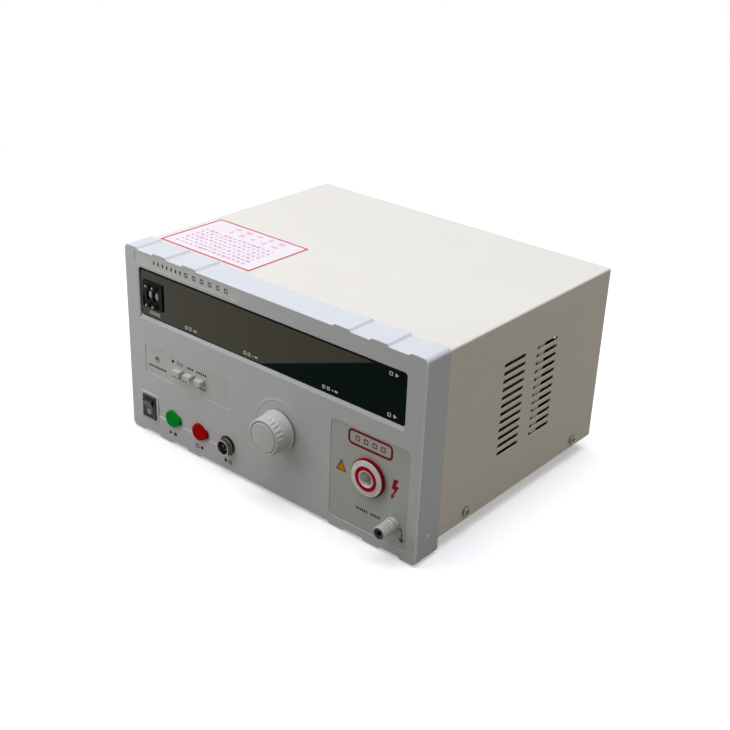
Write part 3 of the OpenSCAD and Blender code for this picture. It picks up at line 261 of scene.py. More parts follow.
@dataclass(frozen=True)
class Finish:
    """A surface finish: its name, its colour as seen, and how rough it is."""

    name: str
    colour: Rgb
    roughness: float = 0.5

    def material(self) -> bpy.types.Material:
        """Returns the finish's material, which is built the first time it is asked for."""
        name = self.name + "_look"
        found = bpy.data.materials.get(name)
        if found is not None:
            return found
        made = bpy.data.materials.new(name)
        graph = emptied(made)
        graph.add("ShaderNodeOutputMaterial", values={"Surface": self.shade(graph)})
        return made

    def shade(self, graph: Graph) -> Wire:
        """Returns the shader. Each kind of finish has its own."""
        raise NotImplementedError

    def shades(self, graph: Graph, share: Wire, low: float, high: float) -> Wire:
        """Returns the finish's colour times low where a share is 0, up to times high where it is 1."""
        return graph.mix(share, tint(self.colour, low), tint(self.colour, high))


@dataclass(frozen=True)
class Moulding(Finish):
    """A moulded plastic with a fine spark-eroded grain and lighter edges, partly polished by handling and
    partly a painted highlight.
    """

    grain: float = 0.45
    depth: float = 0.012
    mottle: float = 0.02
    wear: float = 0.25
    gloss: float = 0.5
    worn: float = 1.12

    def shade(self, graph: Graph) -> Wire:
        """Returns a grained shader, mottled in broad patches, lighter and smoother on its edges."""
        broad = graph.noise(26, 3)
        grain = graph.noise(self.grain, 3)
        # Lighter edges: partly polished by handling, partly a painted highlight along the edges
        edge = graph.edges(0.7) * self.wear
        base = self.shades(graph, broad, 1 - self.mottle, 1 + self.mottle)
        base = graph.mix(graph.noise(1.2, 2), graph.mix(0.035, base, linear((0, 0, 0))),
                         graph.mix(0.03, base, linear((255, 255, 255))))
        base = graph.mix(edge, base, tint(self.colour, self.worn))
        dust = graph.specks(9, 0.35) * 0.12
        base = graph.mix(dust, base, tint(self.colour, 0.7))
        rough = self.roughness + (grain - 0.5) * 0.16 + (broad - 0.5) * 0.08 - edge * 0.2
        return graph.surface(base_color=base, roughness=rough, normal=graph.bump(grain, self.depth),
                             specular_ior_level=self.gloss)


@dataclass(frozen=True)
class Gloss(Finish):
    """A polished plastic, with faint smears in its gloss."""

    smear: float = 0.08
    gloss: float = 0.5
    milky: float = 0.0
    sink: float = 0.004

    def shade(self, graph: Graph) -> Wire:
        """Returns a smooth shader whose roughness wanders, and that light sinks into where it is milky."""
        smears = graph.noise(11, 4, warp=1.5)
        ripple = graph.noise(5, 1)
        base = self.shades(graph, smears, 0.96, 1.03)
        return graph.surface(base_color=base, roughness=self.roughness + (smears - 0.4) * self.smear,
                             normal=graph.bump(ripple, 0.01), specular_ior_level=self.gloss,
                             subsurface_weight=self.milky, subsurface_scale=self.sink,
                             subsurface_radius=(1.0, 0.86, 0.78))


@dataclass(frozen=True)
class Film(Finish):
    """A satin printed film over a rigid panel."""

    weave: float = 0.22

    def shade(self, graph: Graph) -> Wire:
        """Returns a satin shader with a very fine texture and slow unevenness."""
        fine = graph.noise(self.weave, 2)
        slow = graph.noise(34, 2)
        base = self.shades(graph, slow, 0.975, 1.02)
        return graph.surface(base_color=base, roughness=self.roughness + (fine - 0.5) * 0.15,
                             normal=graph.bump(fine, 0.005))


@dataclass(frozen=True)
class SmokedSheet(Finish):
    """Smoked acrylic that lets a little of what is behind it through."""

    alpha: float = 0.93

    def shade(self, graph: Graph) -> Wire:
        """Returns a glossy dark shader with dust specks, mixed with a see-through one."""
        smears = graph.noise(40, 3, warp=1.0)
        bloom = graph.noise(0.9, 2).eased(0.45, 0.75)
        dust = graph.specks(2.6, 0.16) * 0.45 + bloom * 0.06
        base = graph.mix(dust, linear(self.colour), linear((100, 96, 80)))
        sheet = graph.surface(base_color=base, roughness=self.roughness + smears * 0.015 + dust * 0.2,
                              specular_ior_level=0.28, specular_tint=(1.0, 0.92, 0.5, 1.0))
        clear = graph.wire("ShaderNodeBsdfTransparent", None, {"Color": linear((170, 150, 130))})
        return graph.either(self.alpha, clear, sheet)


@dataclass(frozen=True)
class PowderCoat(Finish):
    """Baked powder paint on sheet steel: an orange-peel skin with a fine speckle."""

    peel: float = 1.5
    depth: float = 0.03

    def shade(self, graph: Graph) -> Wire:
        """Returns a satin shader with a peel, a speckle and slightly rubbed edges."""
        peel = graph.noise(self.peel, 2)
        fine = graph.noise(0.5, 2)
        slow = graph.noise(70, 2)
        edge = graph.edges(0.5) * 0.3
        speck = graph.specks(1.6, 0.3) * 0.1
        base = self.shades(graph, slow, 0.985, 1.012)
        base = graph.mix(speck, base, tint(self.colour, 0.86))
        base = graph.mix(edge, base, tint(self.colour, 1.1))
        rough = self.roughness + (fine - 0.5) * 0.14 + (slow - 0.5) * 0.06
        return graph.surface(base_color=base, roughness=rough, specular_ior_level=0.3,
                             normal=graph.bump(peel * 0.7 + fine * 0.3, self.depth))


@dataclass(frozen=True)
class Metal(Finish):
    """Bare or plated metal, brushed along one axis."""

    brush: Point3 = (1, 1, 1)
    line: float = 0.25
    stain: float = 0.12

    def shade(self, graph: Graph) -> Wire:
        """Returns a metal shader with fine lines and slow staining."""
        lines = graph.noise(self.line, 3, self.brush)
        slow = graph.noise(16, 3)
        base = self.shades(graph, slow, 1 - self.stain, 1.05)
        rough = self.roughness + (lines - 0.5) * 0.18 + (slow - 0.5) * 0.1
        return graph.surface(base_color=base, metallic=1.0, roughness=rough, normal=graph.bump(lines, 0.006))


@dataclass(frozen=True)
class Cast(Finish):
    """Painted or varnished iron with a sandy skin."""

    def shade(self, graph: Graph) -> Wire:
        """Returns a coarse shader with rubbed edges."""
        sand = graph.noise(1.1, 4)
        edge = graph.edges(0.8) * 0.5
        base = self.shades(graph, graph.noise(9, 2), 0.85, 1.12)
        base = graph.mix(edge, base, linear((140, 140, 138)))
        return graph.surface(base_color=base, roughness=self.roughness + (sand - 0.5) * 0.2,
                             normal=graph.bump(sand, 0.08))


@dataclass(frozen=True)
class Laminated(Finish):
    """Varnished steel laminations stacked along X, or tape wound in layers along Z."""

    pitch: float = 0.5
    along: int = 0
    metallic: float = 0.5

    def shade(self, graph: Graph) -> Wire:
        """Returns a striped shader, one stripe to each layer."""
        across = graph.axes(graph.place())[self.along]
        wander = graph.noise(7, 3)
        line = ((across / self.pitch + wander * 0.35).fraction() - 0.5).magnitude().eased(0.1, 0.5)
        base = self.shades(graph, line, 1.15, 0.55)
        base = graph.mix(wander, base, tint(self.colour, 0.8), "MULTIPLY")
        return graph.surface(base_color=base, metallic=self.metallic,
                             roughness=self.roughness + wander * 0.15, normal=graph.bump(1 - line, 0.12))


@dataclass(frozen=True)
class Board(Finish):
    """A green circuit board with tracks under its mask."""

    track: float = 2.4

    def shade(self, graph: Graph) -> Wire:
        """Returns a glossy green shader with lighter tracks that run in two directions."""
        x, y, z = graph.axes(graph.place())
        along = ((x / self.track).fraction() - 0.5).magnitude().eased(0.2, 0.28)
        over = (((y + z) / self.track).fraction() - 0.5).magnitude().eased(0.2, 0.28)
        patch = graph.noise(14, 1).above(0.5)
        tracks = patch * (1 - along) + (1 - patch) * (1 - over)
        base = self.shades(graph, tracks, 0.85, 1.35)
        return graph.surface(base_color=base, roughness=self.roughness, normal=graph.bump(tracks, 0.03))


@dataclass(frozen=True)
class Rubber(Finish):
    """Moulded rubber or silicone with a dull bloom."""

    def shade(self, graph: Graph) -> Wire:
        """Returns a dull shader with pores and a bloom."""
        pores = graph.noise(0.35, 3)
        bloom = graph.noise(12, 3)
        base = self.shades(graph, bloom, 0.9, 1.15)
        return graph.surface(base_color=base, roughness=self.roughness + (pores - 0.5) * 0.15,
                             normal=graph.bump(pores, 0.02), specular_ior_level=0.08)


@dataclass(frozen=True)
class Ink(Finish):
    """Screen-printed ink or coated paper, slightly uneven in cover."""

    uneven: float = 0.06
    gloss: float = 0.05

    def shade(self, graph: Graph) -> Wire:
        """Returns a flat shader whose cover varies a little."""
        cover = graph.noise(0.8, 3)
        fibre = graph.noise(0.3, 2)
        base = graph.mix(cover, tint(self.colour, 1 - self.uneven), linear(self.colour))
        return graph.surface(base_color=base, roughness=self.roughness + (fibre - 0.5) * 0.1,
                             normal=graph.bump(fibre, 0.004), specular_ior_level=self.gloss)


class Palette:
    """The finishes of this tester."""

    # The bezel's edges are lightened far past what handling polishes, as a painted highlight along its
    # rounded edges
    BEZEL = Moulding("bezel_plastic", (199, 202, 206), 0.5, depth=0.016, wear=0.9, worn=1.28)
    # A near-white copy of the bezel's moulding for the rounding down its sides and along its foot: a painted
    # highlight
    BEZEL_RIM = Moulding("bezel_rim_painted_highlight_plastic", (236, 238, 240), 0.4, depth=0.008)
    # The bezel's moulding again, darker on its side faces as painted shade, with its edges lightened further
    # as a painted highlight
    BEZEL_SIDE = Moulding("bezel_side_painted_shade_plastic", (173, 178, 182), 0.5, depth=0.016, wear=0.9, worn=1.4)
    TITLE_FILM = Film("title_film", (207, 209, 208), 0.48)
    KEY_FILM = Film("key_field_film", (196, 199, 198), 0.48)
    OUTPUT_FILM = Film("output_field_film", (180, 184, 180), 0.48)
    WINDOW = SmokedSheet("smoked_acrylic", (10, 9, 5), 0.012)
    BLACK = Moulding("black_plastic", (22, 22, 24), 0.42, depth=0.008, wear=0.12, gloss=0.25)
    PRESET = Moulding("preset_plastic", (12, 12, 14), 0.45, depth=0.006, wear=0.04, gloss=0.04)
    ROCKER = Moulding("rocker_plastic", (17, 18, 23), 0.3, depth=0.004, wear=0.08, gloss=0.2)
    # The insert's blue is lifted well above its own dark blue: painted light on a piece that sits deep in the
    # barrel
    INSERT = Moulding("insert_painted_light_plastic", (72, 92, 132), 0.3, depth=0.004, wear=0.1, gloss=0.6)
    WHEEL = Moulding("wheel_plastic", (18, 18, 20), 0.5, wear=0.1, gloss=0.15)
    GREEN = Gloss("green_plastic", (0, 150, 48), 0.5, gloss=0.03)
    RED = Gloss("red_plastic", (180, 0, 4), 0.5, gloss=0.03)
    RING_RED = Gloss("ring_red_plastic", (184, 4, 14), 0.42, gloss=0.04)
    OFF_WHITE = Moulding("off_white_plastic", (200, 200, 195), 0.42, depth=0.006, wear=0.15)
    KNOB_GREY = Moulding("knob_grey_plastic", (203, 204, 202), 0.4, depth=0.006, wear=0.2)
    INSULATOR = Gloss("white_insulator", (254, 248, 246), 0.34, milky=0.5, sink=0.008)
    POST_GREY = Moulding("light_grey_plastic", (194, 196, 190), 0.4, depth=0.006)
    COVER = PowderCoat("cover_paint", (214, 210, 201), 0.58)
    GASKET = Rubber("red_rubber", (132, 3, 14), 0.6)
    SILICONE = Rubber("lead_silicone", (160, 24, 24), 0.5)
    FOOT = Rubber("foot_rubber", (44, 44, 44), 0.8)
    NICKEL = Metal("nickel", (205, 206, 206), 0.24)
    AGED_NICKEL = Metal("aged_nickel", (116, 109, 94), 0.34)
    # Darker olive metal for the socket barrel's side: painted shade on the plated barrel
    OLIVE_ZINC = Metal("olive_zinc", (120, 115, 94), 0.34)
    # Near-black metal for the socket's flange at the panel: painted shadow of the recess round the barrel
    DARK_ZINC = Metal("dark_zinc", (62, 57, 44), 0.4)
    PIN = Metal("plated_pin", (148, 152, 166), 0.3)
    RING = Metal("ring_nickel", (146, 145, 138), 0.3)
    ZINC = Metal("plated_steel", (176, 179, 182), 0.42, brush=(0.05, 1, 1), line=0.35)
    STEEL = Metal("bright_steel", (190, 190, 192), 0.3, brush=(1, 0.1, 1))
    BRASS = Metal("brass", (204, 170, 92), 0.3)
    COPPER = Metal("winding_copper", (176, 104, 58), 0.32, line=0.4)
    CAST = Cast("cast_base", (70, 74, 79), 0.6)
    CORE = Laminated("lamination", (74, 78, 83), 0.5)
    TAPE = Laminated("coil_tape", (92, 70, 50), 0.55, pitch=6, along=2, metallic=0.0)
    PCB = Board("circuit_board", (28, 96, 62), 0.35)
    DISPLAY = Gloss("display_block", (34, 30, 27), 0.25)
    SEGMENT = Gloss("display_segment", (92, 40, 34), 0.3)
    LAMP = Gloss("lamp_red", (150, 40, 32), 0.2)
    TRIMMER = Gloss("trimmer_blue", (44, 92, 170), 0.35)
    RELAY = Gloss("relay_blue", (30, 66, 112), 0.3)
    SLEEVE = Gloss("capacitor_sleeve", (36, 46, 74), 0.28)
    LABEL = Ink("label_paper", (229, 223, 227), 0.5)
    LABEL_RED = Ink("label_red_ink", (198, 58, 58), 0.5)
    LABEL_ROSE = Ink("label_rose_ink", (212, 158, 180), 0.5)
    LABEL_BLUSH = Ink("label_blush_ink", (224, 184, 200), 0.5)
    WHITE_INK = Ink("white_ink", (246, 247, 245), 0.45)
    MAROON_INK = Ink("maroon_ink", (104, 62, 62), 0.45)
    DARK_INK = Ink("dark_ink", (46, 46, 48), 0.45)
    # Near-black ink for the band round the window that paints the rim's shadow
    BLACK_INK = Ink("black_ink", (9, 9, 9), 0.6)
    LINE_INK = Ink("pale_line_ink", (238, 240, 242), 0.4)
    RED_INK = Ink("red_ink", (136, 34, 44), 0.45)
    BOLT_INK = Ink("bolt_ink", (172, 14, 26), 0.45)
    BROWN_INK = Ink("brown_ink", (128, 92, 34), 0.45)
    AMBER_INK = Ink("amber_ink", (226, 158, 12), 0.45)


# Forms


@dataclass
class Form:
    """A closed mesh in millimetres: its points and its faces."""

    points: list[Point3] = field(default_factory=list)
    faces: list[tuple[int, ...]] = field(default_factory=list)

    def __add__(self, other: "Form") -> "Form":
        """Returns both forms as one."""
        shift = len(self.points)
        return Form(self.points + other.points,
                    self.faces + [tuple(corner + shift for corner in face) for face in other.faces])

    def moved(self, matrix: Matrix) -> "Form":
        """Returns the form moved by a matrix in millimetres."""
        return Form([tuple(matrix @ Vector(point)) for point in self.points], list(self.faces))


def panel(x: float, z: float, depth: float = 0.0) -> Matrix:
    """Returns the matrix from the panel's plane (X right, Y up, Z out) in millimetres to the row frame."""
    return level(x, depth, z) @ Matrix(((1, 0, 0, 0), (0, 0, -1, 0), (0, 1, 0, 0), (0, 0, 0, 1)))


def level(x: float, depth: float, z: float) -> Matrix:
    """Returns the matrix from a level plane (X right, Y to the rear, Z up) to the row frame."""
    return Matrix.Translation((x * MM, FRONT_Y + depth * MM, BASE_Z + z * MM)) @ Matrix.Scale(MM, 4)


def spot(point: Vector) -> Point3:
    """Returns a point of the row frame as its x, its depth and its z in the panel's millimetres."""
    return (point.x / MM, (point.y - FRONT_Y) / MM, (point.z - BASE_Z) / MM)


def circle(radius: float, count: int = 32, x: float = 0, y: float = 0) -> list[Point2]:
    """Returns a circle's outline, anticlockwise."""
    return [(x + radius * math.cos(math.tau * i / count), y + radius * math.sin(math.tau * i / count))
            for i in range(count)]


def rounded_box(width: float, height: float, radius: float, steps: int = 5, x: float = 0,
                y: float = 0) -> list[Point2]:
    """Returns a rectangle's outline with rounded corners, anticlockwise."""
    corners = [(1, 1, 0), (-1, 1, 90), (-1, -1, 180), (1, -1, 270)]
    found = []
    for sx, sy, start in corners:
        for i in range(steps + 1):
            angle = math.radians(start + 90 * i / steps)
            found.append((x + sx * (width / 2 - radius) + radius * math.cos(angle),
                          y + sy * (height / 2 - radius) + radius * math.sin(angle)))
    return found


def plate(outline: Sequence[Point2], low: float, high: float) -> Form:
    """Returns an outline's prism from one height to another."""
    count = len(outline)
    points = [(x, y, low) for x, y in outline] + [(x, y, high) for x, y in outline]
    sides = [(i, (i + 1) % count, (i + 1) % count + count, i + count) for i in range(count)]
    return Form(points, [tuple(reversed(range(count))), tuple(range(count, 2 * count)), *sides])


def band(outer: Sequence[Point2], inner: Sequence[Point2], low: float, high: float) -> Form:
    """Returns the prism between two outlines that have the same number of points."""
    count = len(outer)
    rings = [(outer, low), (outer, high), (inner, high), (inner, low)]
    points = [(x, y, z) for ring, z in rings for x, y in ring]
    faces = [(r * count + i, r * count + (i + 1) % count, (r + 1) % 4 * count + (i + 1) % count,
              (r + 1) % 4 * count + i) for r in range(4) for i in range(count)]
    return Form(points, faces)


def softened(corners: Sequence[Point2], radius: float, steps: int = 3) -> list[Point2]:
    """Returns an open line with its inner corners rounded."""
    found = [corners[0]]
    for before, corner, after in zip(corners, corners[1:], corners[2:]):
        here = Vector(corner)
        back, on = Vector(before) - here, Vector(after) - here
        reach = min(radius, back.length * 0.45, on.length * 0.45)
        start, end = here + back.normalized() * reach, here + on.normalized() * reach
        for i in range(steps + 1):
            t = i / steps
            point = start * (1 - t) ** 2 + here * 2 * t * (1 - t) + end * t ** 2
            found.append((point.x, point.y))
    return found + [corners[-1]]


def lathe(profile: Sequence[Point2], count: int = 64) -> Form:
    """Returns a solid of revolution about Z.

    Args:
        profile: Distances from the axis and heights. It starts and ends on the axis, or is a closed loop.
        count: How many steps go round the axis.
    """
    points: list[Point3] = []
    rows: list[list[int]] = []
    for radius, height in profile:
        if radius < 1e-6:
            rows.append([len(points)] * count)
            points.append((0, 0, height))
        else:
            rows.append(list(range(len(points), len(points) + count)))
            points += [(x, y, height) for x, y in circle(radius, count)]
    pairs = list(zip(rows, rows[1:]))
    if profile[0][0] > 1e-6:
        pairs.append((rows[-1], rows[0]))
    faces = []
    for low, high in pairs:
        for i in range(count):
            j = (i + 1) % count
            corners = [low[i], low[j], high[j], high[i]]
            face = tuple(dict.fromkeys(corners))
            if len(face) > 2:
                faces.append(face)
    return Form(points, faces)


def tube(path: Sequence[Point3], radius: float, sides: int = 8, closed: bool = False) -> Form:
    """Returns a round bar that follows a path in one plane or gently out of it."""
    spine = [Vector(point) for point in path]
    count = len(spine)
    points: list[Point3] = []
    for i, here in enumerate(spine):
        ahead = spine[(i + 1) % count] if closed or i < count - 1 else here
        behind = spine[i - 1] if closed or i > 0 else here
        along = (ahead - behind).normalized()
        steep = abs(along.y) > 0.9
        side = (along.orthogonal() if steep else along.cross(Vector((0, 1, 0)))).normalized()
        up = along.cross(side)
        points += [tuple(here + side * radius * math.cos(math.tau * j / sides)
                         + up * radius * math.sin(math.tau * j / sides)) for j in range(sides)]
    last = count if closed else count - 1
    faces = [(i * sides + j, i * sides + (j + 1) % sides, (i + 1) % count * sides + (j + 1) % sides,
              (i + 1) % count * sides + j) for i in range(last) for j in range(sides)]
    if not closed:
        faces += [tuple(reversed(range(sides))), tuple(range((count - 1) * sides, count * sides))]
    return Form(points, faces)


# Geometry node trees


class NodeShape:
    """A Geometry Nodes tree with named inputs, run once on a mesh and then turned into plain mesh."""

    def __init__(self, name: str, sizes: Mapping[str, float], counts: Mapping[str, int] | None = None,
                 template: bool = False) -> None:
        """Opens a tree.

        Args:
            name: The tree's name.
            sizes: Its number inputs and their values.
            counts: Its whole-number inputs and their values.
            template: Whether it also takes an object to repeat.
        """
        self.tree = bpy.data.node_groups.new(name, "GeometryNodeTree")
        self.graph = Graph(self.tree)
        self.values: dict[str, Any] = {**sizes, **(counts or {})}
        face = self.tree.interface
        face.new_socket(name="Geometry", in_out="INPUT", socket_type="NodeSocketGeometry")
        kinds = {**dict.fromkeys(sizes, "Float"), **dict.fromkeys(counts or {}, "Int")}
        if template:
            kinds["Template"] = "Object"
        kinds["Finish"] = "Material"
        self.keys = {}
        for key, kind in kinds.items():
            socket = face.new_socket(name=key, in_out="INPUT", socket_type=f"NodeSocket{kind}")
            self.keys[key] = socket.identifier
        face.new_socket(name="Geometry", in_out="OUTPUT", socket_type="NodeSocketGeometry")
        self.source = self.graph.add("NodeGroupInput")

    def given(self, name: str) -> Wire:
        """Returns one of the tree's inputs."""
        return Wire(self.graph, self.source.outputs[name])

    def close(self, shape: Wire) -> None:
        """Ends the tree in Realize Instances and Set Material."""
        real = self.graph.wire("GeometryNodeRealizeInstances", None, {0: shape})
        done = self.graph.wire("GeometryNodeSetMaterial", None,
                               {"Geometry": real, "Material": self.given("Finish")})
        self.graph.add("NodeGroupOutput", values={0: done})

    def stamp(self) -> Wire:
        """Returns the shape of the template that the tree repeats."""
        return self.graph.wire("GeometryNodeObjectInfo", {"transform_space": "ORIGINAL"},
                               {"Object": self.given("Template")}, "Geometry")

    def close_on(self, points: Wire, stamp: Wire, **values: Any) -> None:
        """Ends the tree in one copy of a shape on each point."""
        self.close(self.graph.wire("GeometryNodeInstanceOnPoints", None,
                                   {"Points": points, "Instance": stamp, **values}))

    def run(self, base: bpy.types.Mesh, finish: Finish, template: Form | None = None) -> bpy.types.Mesh:
        """Runs the tree.

        Args:
            base: The mesh that the tree starts from.
            finish: The finish that its result gets.
            template: The form to repeat, if the tree takes one.

        Returns:
            The result as a plain mesh.
        """
        holder = linked("holder", base)
        modifier = holder.modifiers.new("shape", "NODES")
        modifier.node_group = self.tree
        for name, value in self.values.items():
            modifier[self.keys[name]] = value
        modifier[self.keys["Finish"]] = finish.material()
        stamp = None
        if template is not None:
            stamp = linked("template", mesh_of("template", template, Matrix.Identity(4)))
            modifier[self.keys["Template"]] = stamp
        made = plain(holder)
        for spare in filter(None, (holder, stamp)):
            bpy.data.objects.remove(spare)
        return made


class Scatter(NodeShape):
    """Repeats a template on the points of a mesh, its Z axis along each point's aim."""

    def __init__(self) -> None:
        """Builds the tree."""
        super().__init__("scatter_on_points", {"Scale": 1.0}, template=True)
        graph = self.graph
        aim = graph.wire("GeometryNodeInputNamedAttribute", {"data_type": "FLOAT_VECTOR"}, {"Name": "aim"})
        turn = graph.wire("FunctionNodeAlignRotationToVector", {"axis": "Z"}, {"Vector": aim})
        self.close_on(self.given("Geometry"), self.stamp(), Rotation=turn, Scale=self.given("Scale"))

    def points(self, places: Sequence[tuple[Point3, Point3]]) -> bpy.types.Mesh:
        """Returns a mesh of loose points, each with its aim."""
        base = bpy.data.meshes.new("points")
        base.from_pydata([place for place, _ in places], [], [])
        aims = base.attributes.new("aim", "FLOAT_VECTOR", "POINT")
        for i, (_, aim) in enumerate(places):
            aims.data[i].vector = aim
        return base


class Ringed(NodeShape):
    """Repeats a template round the Z axis."""

    def __init__(self, count: int, sweep: float = 360.0) -> None:
        """Builds the tree for a count of copies over a sweep in degrees."""
        super().__init__("repeat_round_axis", {"Sweep": math.radians(sweep)}, {"Count": count}, template=True)
        graph = self.graph
        seats = graph.wire("GeometryNodeMeshLine", {"mode": "OFFSET"},
                           {"Count": self.given("Count"), "Offset": (0, 0, 0)})
        step = graph.wire("GeometryNodeInputIndex") * self.given("Sweep") / self.given("Count")
        turn = graph.wire("ShaderNodeCombineXYZ", None, {"Z": step})
        self.close_on(seats, self.stamp(), Rotation=turn)


class Dashed(NodeShape):
    """Fills a field with rows of small bars of uneven length."""

    def __init__(self, width: float, line: float, step: float, pitch: float, columns: int, rows: int,
                 seed: int, thickness: float = INK_HEIGHT) -> None:
        """Builds the tree for bars of a width and line thickness, a step apart in rows a pitch apart."""
        super().__init__("dashed_field", {"Width": width, "Line": line, "Step": step, "Pitch": pitch,
                                          "Thickness": thickness},
                         {"Columns": columns, "Rows": rows, "Seed": seed})
        graph = self.graph
        bar = graph.wire("GeometryNodeMeshCube", None, {"Size": graph.wire(
            "ShaderNodeCombineXYZ", None,
            {"X": self.given("Width"), "Y": self.given("Line"), "Z": self.given("Thickness")})})
        seats = graph.wire("GeometryNodeMeshGrid", None, {
            "Size X": (self.given("Columns") - 1) * self.given("Step"),
            "Size Y": (self.given("Rows") - 1) * self.given("Pitch"),
            "Vertices X": self.given("Columns"), "Vertices Y": self.given("Rows")})
        size = graph.wire("FunctionNodeRandomValue", {"data_type": "FLOAT_VECTOR"}, {
            "Min": (0.35, 0.55, 1), "Max": (1.25, 1.1, 1), "Seed": self.given("Seed")})
        self.close_on(seats, bar, Scale=size)


class Fluted(NodeShape):
    """Presses flutes into a turned form: they are deepest past one height and fade out below another."""

    def __init__(self, flutes: int, depth: float, rise: Point2, fall: Point2, band: Point2,
                 sharpness: float = 3.0) -> None:
        """Builds the tree.

        Args:
            flutes: How many flutes go round.
            depth: How deep a flute is at its middle.
            rise: The heights at which flutes start and are at full depth.
            fall: The heights at which they begin to end and have ended.
            band: The distances from the axis between which flutes come in.
            sharpness: How narrow a flute is.
        """
        self.flutes = flutes
        super().__init__("fluted_turning", {
            "Depth": depth, "Rise Start": rise[0], "Rise End": rise[1], "Fall Start": fall[0],
            "Fall End": fall[1], "Band Start": band[0], "Band End": band[1], "Sharpness": sharpness},
            {"Flutes": flutes})
        graph = self.graph
        x, y, z = graph.axes(graph.wire("GeometryNodeInputPosition"))
        radius = (x * x + y * y) ** 0.5
        angle = graph.math("ARCTAN2", y, x)
        wave = (graph.math("COSINE", angle * self.given("Flutes")) * 0.5 + 0.5) ** self.given("Sharpness")
        along = self.between(z, "Rise Start", "Rise End") * (1 - self.between(z, "Fall Start", "Fall End"))
        rim = self.between(radius, "Band Start", "Band End")
        press = wave * along * rim * self.given("Depth")
        inward = graph.wire("ShaderNodeCombineXYZ", None, {
            "X": 0 - x / radius * press, "Y": 0 - y / radius * press})
        self.close(graph.wire("GeometryNodeSetPosition", None,
                              {"Geometry": self.given("Geometry"), "Offset": inward}))

    def between(self, value: Wire, low: str, high: str) -> Wire:
        """Returns a smooth step of a value between two of the tree's inputs."""
        return value.eased(self.given(low), self.given(high))


# Pieces


def mesh_of(name: str, form: Form, matrix: Matrix) -> bpy.types.Mesh:
    """Returns a form as a mesh, moved by a matrix, with its faces outward and smooth."""
    mesh = bpy.data.meshes.new(name)
    mesh.from_pydata([tuple(matrix @ Vector(point)) for point in form.points], [], form.faces)
    with edited(mesh) as work:
        bmesh.ops.recalc_face_normals(work, faces=work.faces[:])
    smooth(mesh)
    return mesh


def smooth(mesh: bpy.types.Mesh, angle: float = FORM_CREASE) -> None:
    """Shades a mesh smooth, apart from edges sharper than an angle."""
    mesh.polygons.foreach_set("use_smooth", [True] * len(mesh.polygons))
    mesh.set_sharp_from_angle(angle=math.radians(angle))


def plain(holder: bpy.types.Object) -> bpy.types.Mesh:
    """Returns an object's evaluated mesh, and takes its modifiers off."""
    graph = bpy.context.evaluated_depsgraph_get()
    graph.update()
    made = bpy.data.meshes.new_from_object(holder.evaluated_get(graph))
    holder.modifiers.clear()
    return made


@dataclass(frozen=True)
class Seat:
    """Where a piece belongs: its body, its finish's slot, and the CAD nodes that it stands for."""

    body: str
    slot: str
    nodes: tuple[str, ...] = ()


